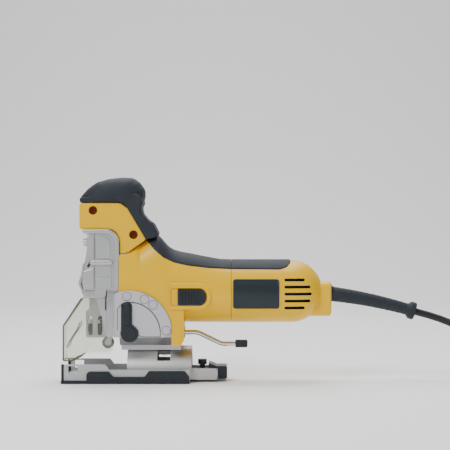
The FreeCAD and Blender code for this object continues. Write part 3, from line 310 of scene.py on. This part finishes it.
FINISH = {
    "yellow_shell": finish_of("yellow_shell", (0.78, 0.46, 0.0), 0.34, grain=1500, bump=0.00002,
                              mottle=0.02),
    "soft_rubber": finish_of("soft_rubber", (0.017, 0.022, 0.030), 0.66, grain=1300, bump=0.00004,
                             mottle=0.10),
    "black_plastic": finish_of("black_plastic", (0.016, 0.021, 0.026), 0.38, grain=1300, bump=0.00003,
                               mottle=0.12),
    "slate_label": finish_of("slate_label", (0.014, 0.022, 0.029), 0.42, grain=500, bump=0.00001,
                             mottle=0.06),
    "cast_alloy": finish_of("cast_alloy", (0.52, 0.525, 0.535), 0.40, 0.85, grain=1100, bump=0.00005,
                            mottle=0.05),
    "bright_plate": finish_of("bright_plate", (0.58, 0.57, 0.62), 0.42, 0.6, grain=900, bump=0.00002,
                              mottle=0.03),
    "hump_alloy": finish_of("hump_alloy", (0.50, 0.50, 0.49), 0.38, 0.9, grain=1400, bump=0.00006,
                            mottle=0.07),
    "machined_steel": finish_of("machined_steel", (0.55, 0.55, 0.56), 0.34, 0.95, grain=600, mottle=0.06),
    "chrome_rod": finish_of("chrome_rod", (0.80, 0.80, 0.81), 0.12, 1.0, grain=400, bump=0.00001,
                            mottle=0.02),
    "screw_steel": finish_of("screw_steel", (0.16, 0.028, 0.012), 0.5, 0.5, grain=800, mottle=0.2),
    "bronze": finish_of("bronze", (0.52, 0.33, 0.16), 0.5, 0.9, grain=900),
    "lamination": finish_of("lamination", (0.22, 0.22, 0.23), 0.5, 0.8, grain=1000),
    "copper_wire": finish_of("copper_wire", (0.50, 0.17, 0.06), 0.35, 0.6, grain=1500),
    "brass": finish_of("brass", (0.70, 0.50, 0.20), 0.32, 1.0, grain=600),
    # carbon is also used for dark pieces of painted shade: the lever's pivot gap, the grooves round the
    # scale, and the inside behind the vents and the housing seam.
    "carbon": finish_of("carbon", (0.03, 0.03, 0.03), 0.7, grain=1500),
    "collar_plastic": finish_of("collar_plastic", (0.04, 0.048, 0.056), 0.5),
    "cord_jacket": finish_of("cord_jacket", (0.012, 0.014, 0.018), 0.45, grain=1400, bump=0.00002),
    "clear_guard": clear_plastic(),
}
FINISH["guard_edge"] = finish_of("guard_edge", (0.16, 0.17, 0.09), 0.3, mottle=0.1)

slot_of = {entry["node"]: entry["material_slot"] for entry in frame["record"]["subparts"]}
for node, part in frame["nodes"].items():
    part.data.materials.clear()
    part.data.materials.append(FINISH[slot_of[node]])
for node in ("bevel_clamp_plate", "bevel_clamp_bolt", "guide_roller"):
    frame["nodes"][node].data.materials[0] = FINISH["lamination"]


# ---------------------------------------------------------------- camera, floor and light
def make_stage():
    """Level camera at the near side, pale paper floor, even world light and four area lamps."""
    camera = bpy.data.objects.new("camera", bpy.data.cameras.new("camera"))
    camera.data.lens = 120
    camera.data.sensor_width = 36
    camera.location = (0.0995, -1.53, 0.1583)
    camera.rotation_euler = (math.radians(90), 0, 0)
    bpy.context.scene.collection.objects.link(camera)
    bpy.context.scene.camera = camera

    # A floor that bends up into a wall far behind, as a roll of paper does.
    bend = np.linspace(0, math.pi / 2, 24)
    depth = np.concatenate([[-4.0], 1.4 + 0.8 * np.sin(bend), [2.2]])
    height = np.concatenate([[0.0], 0.8 * (1 - np.cos(bend)), [4.0]])
    verts = np.concatenate([np.stack([np.full(len(depth), x), depth, height], 1) for x in (4.0, -4.0)])
    paper = bpy.data.meshes.new("floor")
    paper.from_pydata(verts.tolist(), [], grid_faces(2, len(depth)))
    paper.polygons.foreach_set("use_smooth", np.ones(len(paper.polygons), bool))
    floor = bpy.data.objects.new("floor", paper)
    bpy.context.scene.collection.objects.link(floor)
    pale, nodes, links = new_material("floor_pale")
    nodes["Principled BSDF"].inputs["Base Color"].default_value = (0.93, 0.93, 0.93, 1)
    nodes["Principled BSDF"].inputs["Roughness"].default_value = 0.8
    paper.materials.append(pale)

    world = bpy.data.worlds.new("studio")
    bpy.context.scene.world = world
    world.use_nodes = True
    world.node_tree.nodes["Background"].inputs["Color"].default_value = (1, 1, 1, 1)
    world.node_tree.nodes["Background"].inputs["Strength"].default_value = 0.26
    lamps = (("key", (-0.6, -1.0, 1.1), 16, 0.5), ("fill", (1.2, -0.9, 0.5), 3.5, 0.8),
             ("top", (0.1, 0.1, 1.3), 8, 0.6), ("backdrop", (0.1, 1.1, 1.9), 40, 1.8))
    for name, place, power, size in lamps:
        lamp = bpy.data.objects.new(name, bpy.data.lights.new(name, "AREA"))
        lamp.data.energy = power
        lamp.data.size = size
        lamp.location = place
        aim = np.array([0.08, 0, 0.09]) - np.array(place)
        yaw = math.atan2(aim[1], aim[0])
        fall = math.atan2(np.hypot(aim[0], aim[1]), -aim[2])
        lamp.rotation_euler = (fall, 0, yaw - math.pi / 2)
        bpy.context.scene.collection.objects.link(lamp)


make_stage()


# ---------------------------------------------------------------- the mains cord
CORD_RADIUS = 3.6
COIL_CENTRE = (405.0, 0.0)
COIL_MEAN = 37.5
COIL_PITCH = 7.2
COIL_ACROSS = 4
POINTS_PER_TURN = 14
# A quadratic curve runs inside its points, so the points stand this much further out.
REACH_OUT = 1 / math.cos(math.pi / POINTS_PER_TURN)


def cord_points():
    """The free run's chosen points, then the coil. Its columns are wound from the outermost inward,
    down one and up the next, each turn level for most of its way and stepping at its end. A last part
    turn rises from the innermost column and opens out to the plug."""
    slope = math.radians(14)
    start = np.array([293, 0, 70.2])
    free = [start, start + np.array([math.cos(slope), 0, -math.sin(slope)]) * 30,
            np.array([347, -16, 48.5]), np.array([376, -44, 31.5])]
    order = np.arange(COIL_ACROSS ** 2)
    column, step = order // COIL_ACROSS, order % COIL_ACROSS
    layer = np.where(column % 2 == 0, COIL_ACROSS - 1 - step, step)
    radii = COIL_MEAN + ((COIL_ACROSS - 1) / 2 - column) * COIL_PITCH
    heights = CORD_RADIUS + layer * COIL_PITCH
    turns = np.stack([order + 0.07, order + 0.9], 1).ravel()
    last = len(order)
    top = CORD_RADIUS + COIL_ACROSS * COIL_PITCH
    turns = np.concatenate([turns, [last + 0.16, last + 0.24, last + 0.36]])
    radii = np.concatenate([np.repeat(radii, 2), [radii[-1], radii[-1] + 3, 40.0]])
    heights = np.concatenate([np.repeat(heights, 2), [top, top + 1.5, 35.3]])
    at = np.arange(0, last + 0.37, 1 / POINTS_PER_TURN)
    angle = 2 * math.pi * at - math.pi / 2
    radius = np.interp(at, turns, radii) * REACH_OUT
    coil = np.stack([COIL_CENTRE[0] + radius * np.cos(angle), COIL_CENTRE[1] + radius * np.sin(angle),
                     np.interp(at, turns, heights)], 1)
    end = [np.array([434, COIL_MEAN, 35.3]), np.array([421, COIL_MEAN, 35.3])]
    return np.concatenate([np.array(free), coil, np.array(end)]) * MM


def make_cord():
    """The cord as a round curve of second degree through cord_points."""
    points = cord_points()
    curve = bpy.data.curves.new("power_cord_line", "CURVE")
    curve.dimensions = "3D"
    line = curve.splines.new("NURBS")
    line.points.add(len(points) - 1)
    line.points.foreach_set("co", np.column_stack([points, np.ones(len(points))]).ravel())
    line.order_u = 3
    line.use_endpoint_u = True
    line.resolution_u = 4
    curve.bevel_depth = CORD_RADIUS * MM
    curve.bevel_resolution = 4
    curve.use_fill_caps = True
    cord = bpy.data.objects.new("power_cord_line", curve)
    bpy.context.scene.collection.objects.link(cord)
    curve.materials.append(FINISH["cord_jacket"])
    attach(cord, "housing")
    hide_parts("power_cord", "power_cord_coil")


make_cord()


# ---------------------------------------------------------------- moulded body shells
TOP_LINE = np.array([(-7, 130.0), (0, 130.7), (5, 132.8), (9.9, 137.2), (19.6, 143.6), (27, 146.2),
                     (31.5, 147.0),
                     (34.5, 144.6), (39.3, 138.5), (43, 135), (47.6, 132.3), (55, 130.2), (62.5, 129),
                     (79.1, 125.6),
                     (94.1, 122.9), (105.8, 122.5), (170, 122.5)])
WIDTH_LINE = np.array([(-7, 29.3), (10, 29.5), (30, 30.0), (50, 30.8), (70, 31.5), (170, 31.5)])
STRIP_EDGE = np.array([(20.2, 143.0), (24, 138.8), (28.5, 133.5), (37.7, 125.6), (48.4, 120.5),
                       (62.5, 117.4),
                       (83.3, 114.9), (105.8, 113.8), (154.9, 113.5), (161.5, 115.6), (165.2, 119.6),
                       (166.4, 121.9)])


def smooth_line(line, x, blur=2.5):
    """A polyline's height at x, averaged over a short reach so that its corners are round."""
    reach = np.linspace(-blur, blur, 9)
    weight = 1 - np.abs(reach) / (blur * 1.2)
    values = np.array([np.interp(x + r, line[:, 0], line[:, 1]) for r in reach])
    return np.tensordot(weight / weight.sum(), values, 1)


def section_power(x, top):
    """How square the upper section is: 1 gives an ellipse, and less gives fuller corners. It is squarer
    where the top stands above the barrel, and towards the front."""
    stretch = np.clip((top - BARREL_RADIUS) / 24, 0, 1)
    return 2 / (2 + 1.3 * stretch + 7 * np.clip((14 - x) / 20, 0, 1))


def body_section(x, turn):
    """Cross-section of the body: the upper half is a superellipse from the width line to the top
    line, and the lower half is the barrel's circle. turn runs from -pi/2 at the far bottom."""
    top = smooth_line(TOP_LINE, x) - BARREL_HEIGHT
    half = smooth_line(WIDTH_LINE, x, 6)
    power = section_power(x, top)
    c, s = np.cos(turn), np.sin(turn)
    y = -half * np.sign(c) * np.abs(c) ** power
    z = np.where(s >= 0, top * np.abs(s) ** power, -half * np.abs(s))
    y = np.where(s >= 0, y, -half * c)
    return y, BARREL_HEIGHT + z


def turn_at_height(x, z):
    """The turn angle at which the near side of the section reaches a height above the axis."""
    top = smooth_line(TOP_LINE, x) - BARREL_HEIGHT
    power = section_power(x, top)
    share = np.clip((z - BARREL_HEIGHT) / top, 0, 0.9999)
    return np.arcsin(share ** (1 / power))


def lower_edge(x):
    """Where the hood's side ends: on the quadrant's arc, then at the skirt's foot."""
    inside = np.clip(SCALE_RADIUS ** 2 - (x - SCALE_CENTRE[0]) ** 2, 0, None)
    arc = SCALE_CENTRE[1] + np.sqrt(inside)
    return np.where(x < 46.0, arc, np.maximum(37.2, 36.8 + (x - 54.9) * 1.74))


def make_front_housing():
    """Hood over the gear case and fan, its sides dropping straight to the lower edge, and the barrel
    behind it. Both are grids of station against turn on the same cross-section."""
    hood_x = np.unique(np.concatenate([np.linspace(-6.8, 45.95, 50), np.linspace(46, SKIRT_REAR, 8)]))
    turn = np.linspace(0, math.pi, 61)
    drop = np.linspace(0, 1, 12)
    x, t = np.meshgrid(hood_x, turn, indexing="ij")
    y, z = body_section(x, t)
    arch = np.stack([x, y, z], -1)
    half = smooth_line(WIDTH_LINE, hood_x, 6)
    low = lower_edge(hood_x)
    sides = []
    for sign in (-1, 1):
        height = BARREL_HEIGHT + (low[:, None] - BARREL_HEIGHT) * drop[None, :]
        bulge = np.broadcast_to(half[:, None], height.shape)
        along = np.broadcast_to(hood_x[:, None], height.shape)
        sides.append(np.stack([along, sign * bulge, height], -1))
    near, far = sides[0][:, ::-1], sides[1]
    hood = np.concatenate([near[:, :-1], arch, far[:, 1:]], 1)[:, ::-1]
    rows, columns = hood.shape[:2]
    shell = make_object("front_housing_shell", hood.reshape(-1, 3), grid_faces(rows, columns), "housing",
                        "yellow_shell")
    barrel_x = np.linspace(SKIRT_REAR, SPLIT - HALF_SEAM, 30)
    turn = np.linspace(2 * math.pi, 0, 121)[:-1]
    x, t = np.meshgrid(barrel_x, turn, indexing="ij")
    y, z = body_section(x, t)
    verts = np.stack([x, y, z], -1).reshape(-1, 3)
    barrel = make_object("front_barrel", verts, grid_faces(len(barrel_x), 120, wrap_columns=True),
                         "housing",
                         "yellow_shell")
    for piece in (shell, barrel):
        wall = piece.modifiers.new("wall", "SOLIDIFY")
        wall.thickness = HOUSING_WALL * MM
        wall.offset = -1
        wall.use_even_offset = False
        applied(piece)
    rear_wall = rounded([(-29.5, 43.5, 1), (-17.2, 43.5, 1), (-17.2, 54.5, 2), (17.2, 54.5, 2),
                         (17.2, 43.5, 1), (29.5, 43.5, 1), (29.5, 74), (-29.5, 74)])
    rolled_slab("skirt_rear_wall", dense(rear_wall, 3), 55.8, 58.2, 0.6, "housing", "yellow_shell", "YZ")
    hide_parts("front_housing")


def make_strip(name, start, end, node, stations):
    """Rubber skin over the body's back: the cross-section moved out along its radius by a skin that
    rolls down in a quarter circle at its lower edges."""
    x = np.linspace(start, end, stations)
    edge = np.interp(x, STRIP_EDGE[:, 0], STRIP_EDGE[:, 1])
    first = turn_at_height(x, edge)
    share = np.linspace(0, 1, 71)
    share = 0.5 - 0.5 * np.cos(math.pi * share)
    turn = first[:, None] + (math.pi - 2 * first[:, None]) * share[None, :]
    across = np.minimum(share, 1 - share)[None, :] * (math.pi - 2 * first[:, None]) * BARREL_RADIUS
    # Only the rear skin's last end rolls down. The front skin stays full to both of its ends.
    along = ((x - start) + 3 if end < SPLIT else end - x)[:, None] + 0 * across
    lift = 1.35 * (1 - (1 - np.clip(across / 1.5, 0, 1)) ** 2) ** 0.5 - 0.35
    lift = np.minimum(lift, 1.35 * (1 - (1 - np.clip(along / 1.5, 0, 1)) ** 2) ** 0.5 - 0.35)
    y, z = body_section(x[:, None] + 0 * turn, turn)
    radial = np.stack([y, z - BARREL_HEIGHT], -1)
    radial /= np.linalg.norm(radial, axis=-1)[..., None]
    y, z = y + radial[..., 0] * lift, z + radial[..., 1] * lift
    verts = np.stack([x[:, None] + 0 * turn, y, z], -1)[:, ::-1].reshape(-1, 3)
    strip = make_object(name, verts, grid_faces(stations, 71), "housing", "soft_rubber")
    wall = strip.modifiers.new("wall", "SOLIDIFY")
    wall.thickness = 1.4 * MM
    wall.offset = -1
    applied(strip)
    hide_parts(node)


def make_rear_housing():
    """A barrel of revolution that closes in a quarter circle, vented on both sides."""
    straight = np.linspace(SPLIT + HALF_SEAM, DOME_CENTRE, 24)
    bow = np.linspace(0, math.pi / 2 - 0.02, 26)[1:]
    x = np.concatenate([straight, DOME_CENTRE + BARREL_RADIUS * np.sin(bow)])
    r = np.concatenate([np.full(len(straight), BARREL_RADIUS), BARREL_RADIUS * np.cos(bow)])
    turn = np.linspace(0, 2 * math.pi, 128, endpoint=False)
    verts = np.stack([np.repeat(x, 128), (r[:, None] * np.cos(turn)).ravel(),
                      BARREL_HEIGHT + (r[:, None] * np.sin(turn)).ravel()], 1)
    faces = grid_faces(len(x), 128, wrap_columns=True)
    faces.append(list(range(len(verts) - 128, len(verts))))
    shell = make_object("rear_housing_shell", verts, faces, "housing", "yellow_shell")
    wall = shell.modifiers.new("wall", "SOLIDIFY")
    wall.thickness = HOUSING_WALL * MM
    wall.offset = -1
    applied(shell)
    cutters = []
    for i, length in enumerate((20.6, 26.3, 27.6, 26.3, 20.6)):
        z = BARREL_HEIGHT + 12.2 - 7 * i
        for low, high in ((-40, -8), (8, 40)):
            slot = capsule((160.4, z), (158.9 + length - 1.4, z), 1.45)
            name = f"vent_cutter_{i}_{high}"
            cutters.append(rolled_slab(name, slot, low, high, 0.01, "housing", "carbon"))
    carve(shell, cutters)
    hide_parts("rear_housing")
    # Two dark surfaces that hide the inside behind the vents and behind the seam: painted shade that stands
    # in for the unlit inside of the tool.
    vent_shade = tube_surface(np.array([150.0, 167, 180, 190]), np.array([27.5, 27.0, 22.5, 14.0]))
    make_object("vent_shade_sheet", *vent_shade, "housing", "carbon")
    seam_shade = tube_surface(np.array([98.0, 113.0]), np.array([30.9, 30.9]))
    make_object("seam_shade_sheet", *seam_shade, "housing", "carbon")
    boss = dense(rounded([(-11, 65.6, 9), (11, 65.6, 9), (12.5, 101.2, 9), (-12.5, 101.2, 9)]), 2)
    rolled_slab("cable_boss", boss, 184, 207.4, 2.6, "housing", "yellow_shell", "YZ", roll_low=0.2)


def tube_surface(x, r, around=64):
    """Vertices and faces of a closed surface of revolution about the motor's axis."""
    turn = np.linspace(0, 2 * math.pi, around, endpoint=False)
    verts = np.stack([np.repeat(x, around), (r[:, None] * np.cos(turn)).ravel(),
                      BARREL_HEIGHT + (r[:, None] * np.sin(turn)).ravel()], 1)
    faces = grid_faces(len(x), around, wrap_columns=True)
    faces += [list(range(around)), list(range(len(verts) - around, len(verts)))]
    return verts, faces


# ---------------------------------------------------------------- palm grip
KNOB = [(-47.0, 180.4, 3), (-47.2, 187.0, 6), (-39.4, 195.4, 8), (-30.6, 201.7, 9), (-19, 205.1, 14),
        (-5.8, 206.6, 20),
        (6.5, 206.2, 9), (13.2, 201.2, 8), (18.4, 194.0, 8), (18.6, 187.4, 8), (17.0, 181.2, 6),
        (14.2, 175.2, 5),
        (6.0, 177.4, 5), (-3, 180.4, 6)]
APRON = [(-7, 180.4, 3), (-2, 190, 6), (12, 190, 8), (17.9, 181.5, 6), (14.9, 175.6, 6), (16.6, 169.6, 6),
         (21.6, 163.7, 8), (27.2, 160.0, 6), (32.0, 150.4, 4), (31.2, 146.2, 3.4), (20.0, 143.4, 3.4),
         (1.2, 174.8, 4), (-2.8, 179.4, 4)]
NECK = [(-46.8, 154.0, 2.4), (-46.8, 180.4, 2.4), (-5.5, 180.4, 9), (1.8, 174.8, 3), (20.2, 143.8, 2.4),
        (9.9, 136.4, 5),
        (3.2, 131.4, 5), (-2, 129.3, 5), (-6.8, 129.3, 2.2), (-6.8, 154.0, 12)]
NECK_SCREWS = ((-33.0, 173.0), (7.6, 148.6))


def make_neck():
    """Two shells that meet on the blade's plane, each a slab of the neck outline with a rolled rim."""
    outline = dense(rounded(NECK, 10), 1.2)
    for side, node in ((-1, "neck_cover_left"), (1, "neck_cover_right")):
        low, high = (-25.6, -0.08) if side < 0 else (0.08, 25.6)
        rolls = (0.15, 2.1) if side < 0 else (2.1, 0.15)
        shell = rolled_slab(node + "_shell", outline, low, high, rolls[0], "housing", "yellow_shell",
                            roll_low=rolls[1], steps=8)
        cutters = [rolled_slab("plunger_way", disc((-31, 0), 7), 140, 172, 0.01, "housing", "carbon", "XY")]
        if side < 0:
            cutters += [rolled_slab(f"recess_{i}", disc(at, 4.4), -40, -19.2, 0.01, "housing", "carbon")
                        for i, at in enumerate(NECK_SCREWS)]
        carve(shell, cutters)
        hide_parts(node)


def make_palm_grip():
    """The knob is its side outline drawn in towards its middle by a superellipse across the tool, and
    the apron behind the neck is a slab with a rolled rim."""
    outline = dense(rounded(KNOB, 12), 1.2)
    middle = np.array([-13.0, 189.5])
    across = np.sin(np.linspace(-math.pi / 2, math.pi / 2, 49))
    power = 3.1
    draw = (1 - np.abs(across) ** power) ** (1 / power)
    draw = np.maximum(draw, 0.02)
    sections = middle + (outline[None] - middle) * draw[:, None, None]
    lift = 5.0 * (1 - draw)[:, None]
    side = 27 * across[:, None] + 0 * sections[..., 0]
    verts = np.stack([sections[..., 0], side, sections[..., 1] - lift], -1)
    columns = len(outline)
    faces = grid_faces(49, columns, wrap_columns=True)
    faces += [list(range(columns)), list(range(48 * columns, 49 * columns))]
    knob = outward(make_object("palm_knob", verts.reshape(-1, 3), faces, "housing", "soft_rubber", 50))
    apron = dense(rounded(APRON, 12), 1.2)
    rolled_slab("palm_apron", apron, -25.3, 25.3, 2.4, "housing", "soft_rubber", steps=10)
    foot = rounded([(-46.4, 180.6, 2), (-46.6, 186, 2), (10, 190, 2), (6, 180.6, 2)])
    rolled_slab("palm_knob_foot", dense(foot, 2), -24.8, 24.8, 1.6, "housing", "soft_rubber")
    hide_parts("palm_grip")


# ---------------------------------------------------------------- cast head
def band(outer, inner):
    """Outline of a band between two open lines."""
    return np.concatenate([np.asarray(outer, float), np.asarray(inner, float)[::-1]])


def corner(centre, radius, first, last, steps=10):
    """Points of an arc between two angles in degrees."""
    turn = np.radians(np.linspace(first, last, steps))
    return np.array(centre, float) + radius * np.stack([np.cos(turn), np.sin(turn)], 1)


def make_gear_case_castings():
    """Raised rim, panels and ribs cast on both sides of the head and its front cover."""
    rim = band(np.concatenate([[(-43.2, 153.4)], corner((-18.6, 141.6), 11.8, 90, 0), [(-6.9, 93.5)]]),
               np.concatenate([[(-43.2, 150.4)], corner((-20.6, 140.6), 9.8, 90, 0), [(-10.9, 93.5)]]))
    panels = {
        "head_rim": (rim, 2.6, 0.7),
        "head_panel": (rounded([(-30.2, 125.4, 1), (-30.2, 146.6, 1), (-15.6, 146.6, 7),
                                (-15.6, 125.4, 1)]), 1.1, 0.5),
        "cover_panel": (rounded([(-39.2, 126, 1), (-39.2, 146.6, 1), (-32, 146.6, 1), (-32, 126, 1)]),
                        1.1, 0.5),
        "head_rib": (capsule((-33.6, 120.7), (-15.6, 120.7), 2.7), 2.7, 1.9),
        "head_lower_panel": (rounded([(-30.2, 95, 1), (-30.2, 105.4, 1), (-14.2, 105.4, 1),
                                      (-14.2, 95, 1)]), 1.2, 0.5),
        "head_upper_step": (rounded([(-30.2, 107.4, 1), (-30.2, 116.2, 1), (-14.2, 116.2, 1),
                                     (-14.2, 107.4, 1)]), 0.6, 0.4),
        "cover_cheek": (rounded([(-42.6, 95.5, 3), (-43.0, 112, 3), (-32, 115.6, 1), (-32, 95.5, 1)]),
                        1.4, 1.0),
    }
    for name, (outline, height, roll) in panels.items():
        outline = dense(outline, 1.5)
        for side, tail in ((-1, "near"), (1, "far")):
            low, high = (-26 - height, -25.6) if side < 0 else (25.6, 26 + height)
            rolls = (0.05, roll) if side < 0 else (roll, 0.05)
            rolled_slab(f"{name}_{tail}", outline, low, high, rolls[0], "housing", "cast_alloy",
                        roll_low=rolls[1])
    seam = [(-31.3, 93.5), (-30.9, 93.5), (-30.9, 150), (-31.3, 150)]
    rolled_slab("head_seam", dense(np.array(seam), 4), -26.12, 26.12, 0.02, "housing", "carbon")
    # A dark capsule across the head at the lever's pivot: painted shade of the pivot gap.
    rolled_slab("lever_pivot_gap_shade", capsule((-37.6, 117.0), (-35.6, 120.4), 1.3), -26.2, 26.2, 0.1,
                "housing",
                "carbon")
    for side, tail in ((-1, "near"), (1, "far")):
        low, high = sorted((side * 14.0, side * 21.0))
        drum = rounded([(-43.4, 84.6, 3), (-43.4, 92.9, 1), (-20.6, 92.9, 1), (-20.6, 84.6, 2)])
        rolled_slab(f"nose_band_{tail}", dense(drum, 1.5), low, high, 1.2, "housing", "hump_alloy",
                    roll_low=1.2)


def make_scale_marks():
    """Raised rings for the four orbit stages, each circled by a thin dark ring of painted groove shade, and
    a dark line of painted shade round the recess.
    """
    x, z = SCALE_CENTRE
    for i, angle in enumerate((94, 66, 50, 4)):
        at = np.array([x, z]) + 36.8 * np.array([math.cos(math.radians(angle)),
                                                 math.sin(math.radians(angle))])
        turn = np.linspace(0, 2 * math.pi, 49)
        # Each raised ring gets a thin dark ring round it: painted shade of a fine groove.
        for name, size, thick, slot in (("stage_ring", 3.7, 0.42, "bright_plate"),
                                        ("stage_groove_shade", 4.45, 0.22, "carbon")):
            path = np.stack([at[0] + size * np.cos(turn), np.full(49, -32.45),
                             at[1] + size * np.sin(turn)], 1)
            swept(f"{name}_{i}", path, np.full(49, thick), "housing", slot, 10)
    # A thin dark line along the recess's edge: painted shade of its groove.
    edge = np.concatenate([[(-8.0, z + 2), (-8.0, z + 24), (-5.0, z + 28)], corner((x, z), 31.0, 98, 4, 40),
                           [(35.0, 46.6), (18.6, 46.6)]])
    edge = dense(edge, 0.8)
    edge = edge[:-20]
    path = np.stack([edge[:, 0], np.full(len(edge), -32.4), edge[:, 1]], 1)
    swept("recess_groove_shade", path, np.full(len(path), 0.36), "housing", "carbon", 8)


# ---------------------------------------------------------------- controls and trim
def make_switch():
    """Raised rim with a window, the bed in it, and the sliding cap with its row of ribs."""
    rim = dense(rounded([(43.5, 73.4, 2.5), (85.9, 73.4, 13.4), (85.9, 100.3, 13.4), (43.5, 100.3, 2.5)]),
                1.2)
    frame_piece = rolled_slab("switch_rim", rim, -33.2, -26, 1.6, "housing", "yellow_shell", roll_low=1.6,
                              steps=8)
    window = dense(rounded([(45.1, 77.6, 1.5), (81.7, 77.6, 8), (81.7, 95.3, 8), (45.1, 95.3, 1.5)]), 1.2)
    carve(frame_piece, [rolled_slab("window_cutter", window, -40, -31.6, 0.01, "housing", "carbon")])
    rolled_slab("switch_bed", inset(window, 0.2), -31.75, -30.5, 0.2, "housing", "yellow_shell")
    button = rounded([(52.2, 78.1, 1.2), (80.9, 78.1, 7.6), (80.9, 94.7, 7.6), (52.2, 94.7, 1.2)])
    cap = rolled_slab("switch_cap", dense(button, 1.2), -33.4, -31.8, 0.7, "switch_button", "black_plastic",
                      roll_low=0.7)
    for i in range(7):
        x = 56 + 3.1 * i
        rolled_slab(f"switch_rib_{i}", capsule((x, 81.2), (x, 91.6), 0.75), -34.3, -33.0, 0.45,
                    "switch_button", "black_plastic", roll_low=0.45, steps=4)
    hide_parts("slide_switch_button")


def make_selector():
    """Teardrop lever with a raised pad and round hub on the quadrant plate."""
    face = -33.0
    x, z = SCALE_CENTRE
    turn = np.linspace(math.radians(160), math.radians(380), 30)
    hub = np.stack([x + 0.5 + 8.8 * np.cos(turn), z - 0.3 + 8.8 * np.sin(turn)], 1)
    arm = rounded([(-4.2, z + 4), (-4.2, 80.9, 3.2), (6.8, 80.9, 3.2), (6.8, z + 7.5)])
    lever = dense(np.concatenate([hub, arm[::-1]]), 1.0)
    body = rolled_slab("orbit_lever", lever, face - 2.4, face - 0.1, 0.8, "selector", "black_plastic",
                       roll_low=0.8)
    rolled_slab("orbit_lever_pad", capsule((1.3, 62), (1.3, 76.2), 3.9), face - 4.0, face - 2.0, 1.0,
                "selector", "black_plastic")
    rolled_slab("orbit_lever_hub", disc((x + 0.5, z - 0.3), 6.4), face - 3.0, face - 2.0, 0.5, "selector",
                "black_plastic")
    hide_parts("orbit_selector")


def make_labels():
    """Blank data plates with round corners that follow the barrel, each with a raised border. A flat
    outline shrinks towards its middle ring by ring and is then wrapped round the barrel."""
    middle = np.array([130.7, 89.05])
    outline = dense(rounded([(107.6, 73.9, 2.6), (153.8, 73.9, 2.6), (153.8, 104.2, 2.6),
                             (107.6, 104.2, 2.6)]), 1.0)
    steps = np.array([0, 0.02, 0.05, 0.9, 1.0, 1.3, 1.9, 2.2])
    heights = np.array([0.02, 0.6, 0.72, 0.72, 0.62, 0.42, 0.42, 0.42])
    fills = np.array([0.8, 0.6, 0.4, 0.2, 0.04])
    loops = [inset(outline, step) for step in steps]
    loops += [middle + (loops[-1] - middle) * fill for fill in fills]
    heights = np.concatenate([heights, np.full(len(fills), 0.42)])
    for side, name in ((-1, "label_near"), (1, "label_far")):
        flat = np.array(loops)
        r = (BARREL_RADIUS + heights)[:, None] + 0 * flat[..., 0]
        turn = (flat[..., 1] - BARREL_HEIGHT) / BARREL_RADIUS
        verts = np.stack([flat[..., 0], side * r * np.cos(turn), BARREL_HEIGHT + r * np.sin(turn)], -1)
        columns = len(outline)
        faces = grid_faces(len(loops), columns, wrap_columns=True)
        faces.append(list(range(verts.shape[0] * columns - columns, verts.shape[0] * columns)))
        if side > 0:
            faces = [face[::-1] for face in faces]
        plate = make_object(name, verts.reshape(-1, 3), faces, "housing", "slate_label", 50)
        wall = plate.modifiers.new("wall", "SOLIDIFY")
        wall.thickness = 0.3 * MM
        wall.offset = -1
        applied(plate, 50)
        if side < 0:
            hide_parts("label_plates")


def make_strain_relief():
    """Boot swept along a gentle bend, with shallow ribs, a flared end and a collar at the housing."""
    share = np.linspace(0, 1, 120)[:, None]
    a, b, c = (np.array(p, float) for p in ((206.5, 0, 88.3), (250, 0, 83.2), (293, 0, 70.2)))
    path = (1 - share) ** 2 * a + 2 * share * (1 - share) * b + share ** 2 * c
    at = share[:, 0]
    radii = 7.65 - 1.9 * at + 0.1 * np.sin(at * 2 * math.pi * 15) * (at > 0.05) * (at < 0.86)
    flare = np.clip((at - 0.90) / 0.045, 0, 1)
    radii = radii + (8.9 - 5.8) * (flare ** 2 * (3 - 2 * flare))
    radii[-1] -= 0.8
    radii[:4] += np.array([1.2, 1.2, 0.9, 0.3])
    boot = swept("cord_boot", path, radii, "housing", "soft_rubber", 48)
    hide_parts("strain_relief")


GUARD = [(-64.0, 20.8), (-56, 20.8), (-40, 28.6), (-15.9, 28.6), (-15.9, 43.3), (-21.4, 44.4), (-24.4, 56),
         (-30.3, 81.7), (-44, 83.9), (-46, 83.9), (-64.0, 56.5)]


def make_guard_edges():
    """Thickened olive rims along both cheeks of the clear guard, and the bend that stiffens each cheek."""
    line = dense(rounded([(*p, 3) for p in GUARD]), 1.0)
    for side, name in ((-1, "guard_rim_near"), (1, "guard_rim_far")):
        path = np.stack([line[:, 0], np.full(len(line), side * 12.7), line[:, 1]], 1)
        path = path[(line[:, 0] < -44) & (line[:, 1] > 21)]
        start = int(np.argmax(np.linalg.norm(np.diff(path, axis=0, append=path[:1]), axis=1))) + 1
        path = np.roll(path, -start, 0)
        rim = swept(name, path, np.full(len(path), 0.75), "housing", "clear_guard", 12)
        rim.data.materials[0] = FINISH["guard_edge"]
        share = np.linspace(0, 1, 40)
        bend = np.stack([-47.8 - 12.0 * (share ** 2 * (3 - 2 * share)), np.full(40, side * 13.0),
                         60 - 26 * share], 1)
        fold = swept(name + "_fold", bend, np.full(40, 0.55), "housing", "clear_guard", 10)
        fold.data.materials[0] = FINISH["guard_edge"]


make_front_housing()
make_guard_edges()
make_strip("grip_strip_front_skin", 20.4, SPLIT - HALF_SEAM, "grip_strip_front", 90)
make_strip("grip_strip_rear_skin", SPLIT + HALF_SEAM, 166.3, "grip_strip_rear", 70)
make_rear_housing()
make_neck()
make_palm_grip()
make_gear_case_castings()
make_scale_marks()
make_switch()
make_selector()
make_labels()
make_strain_relief()
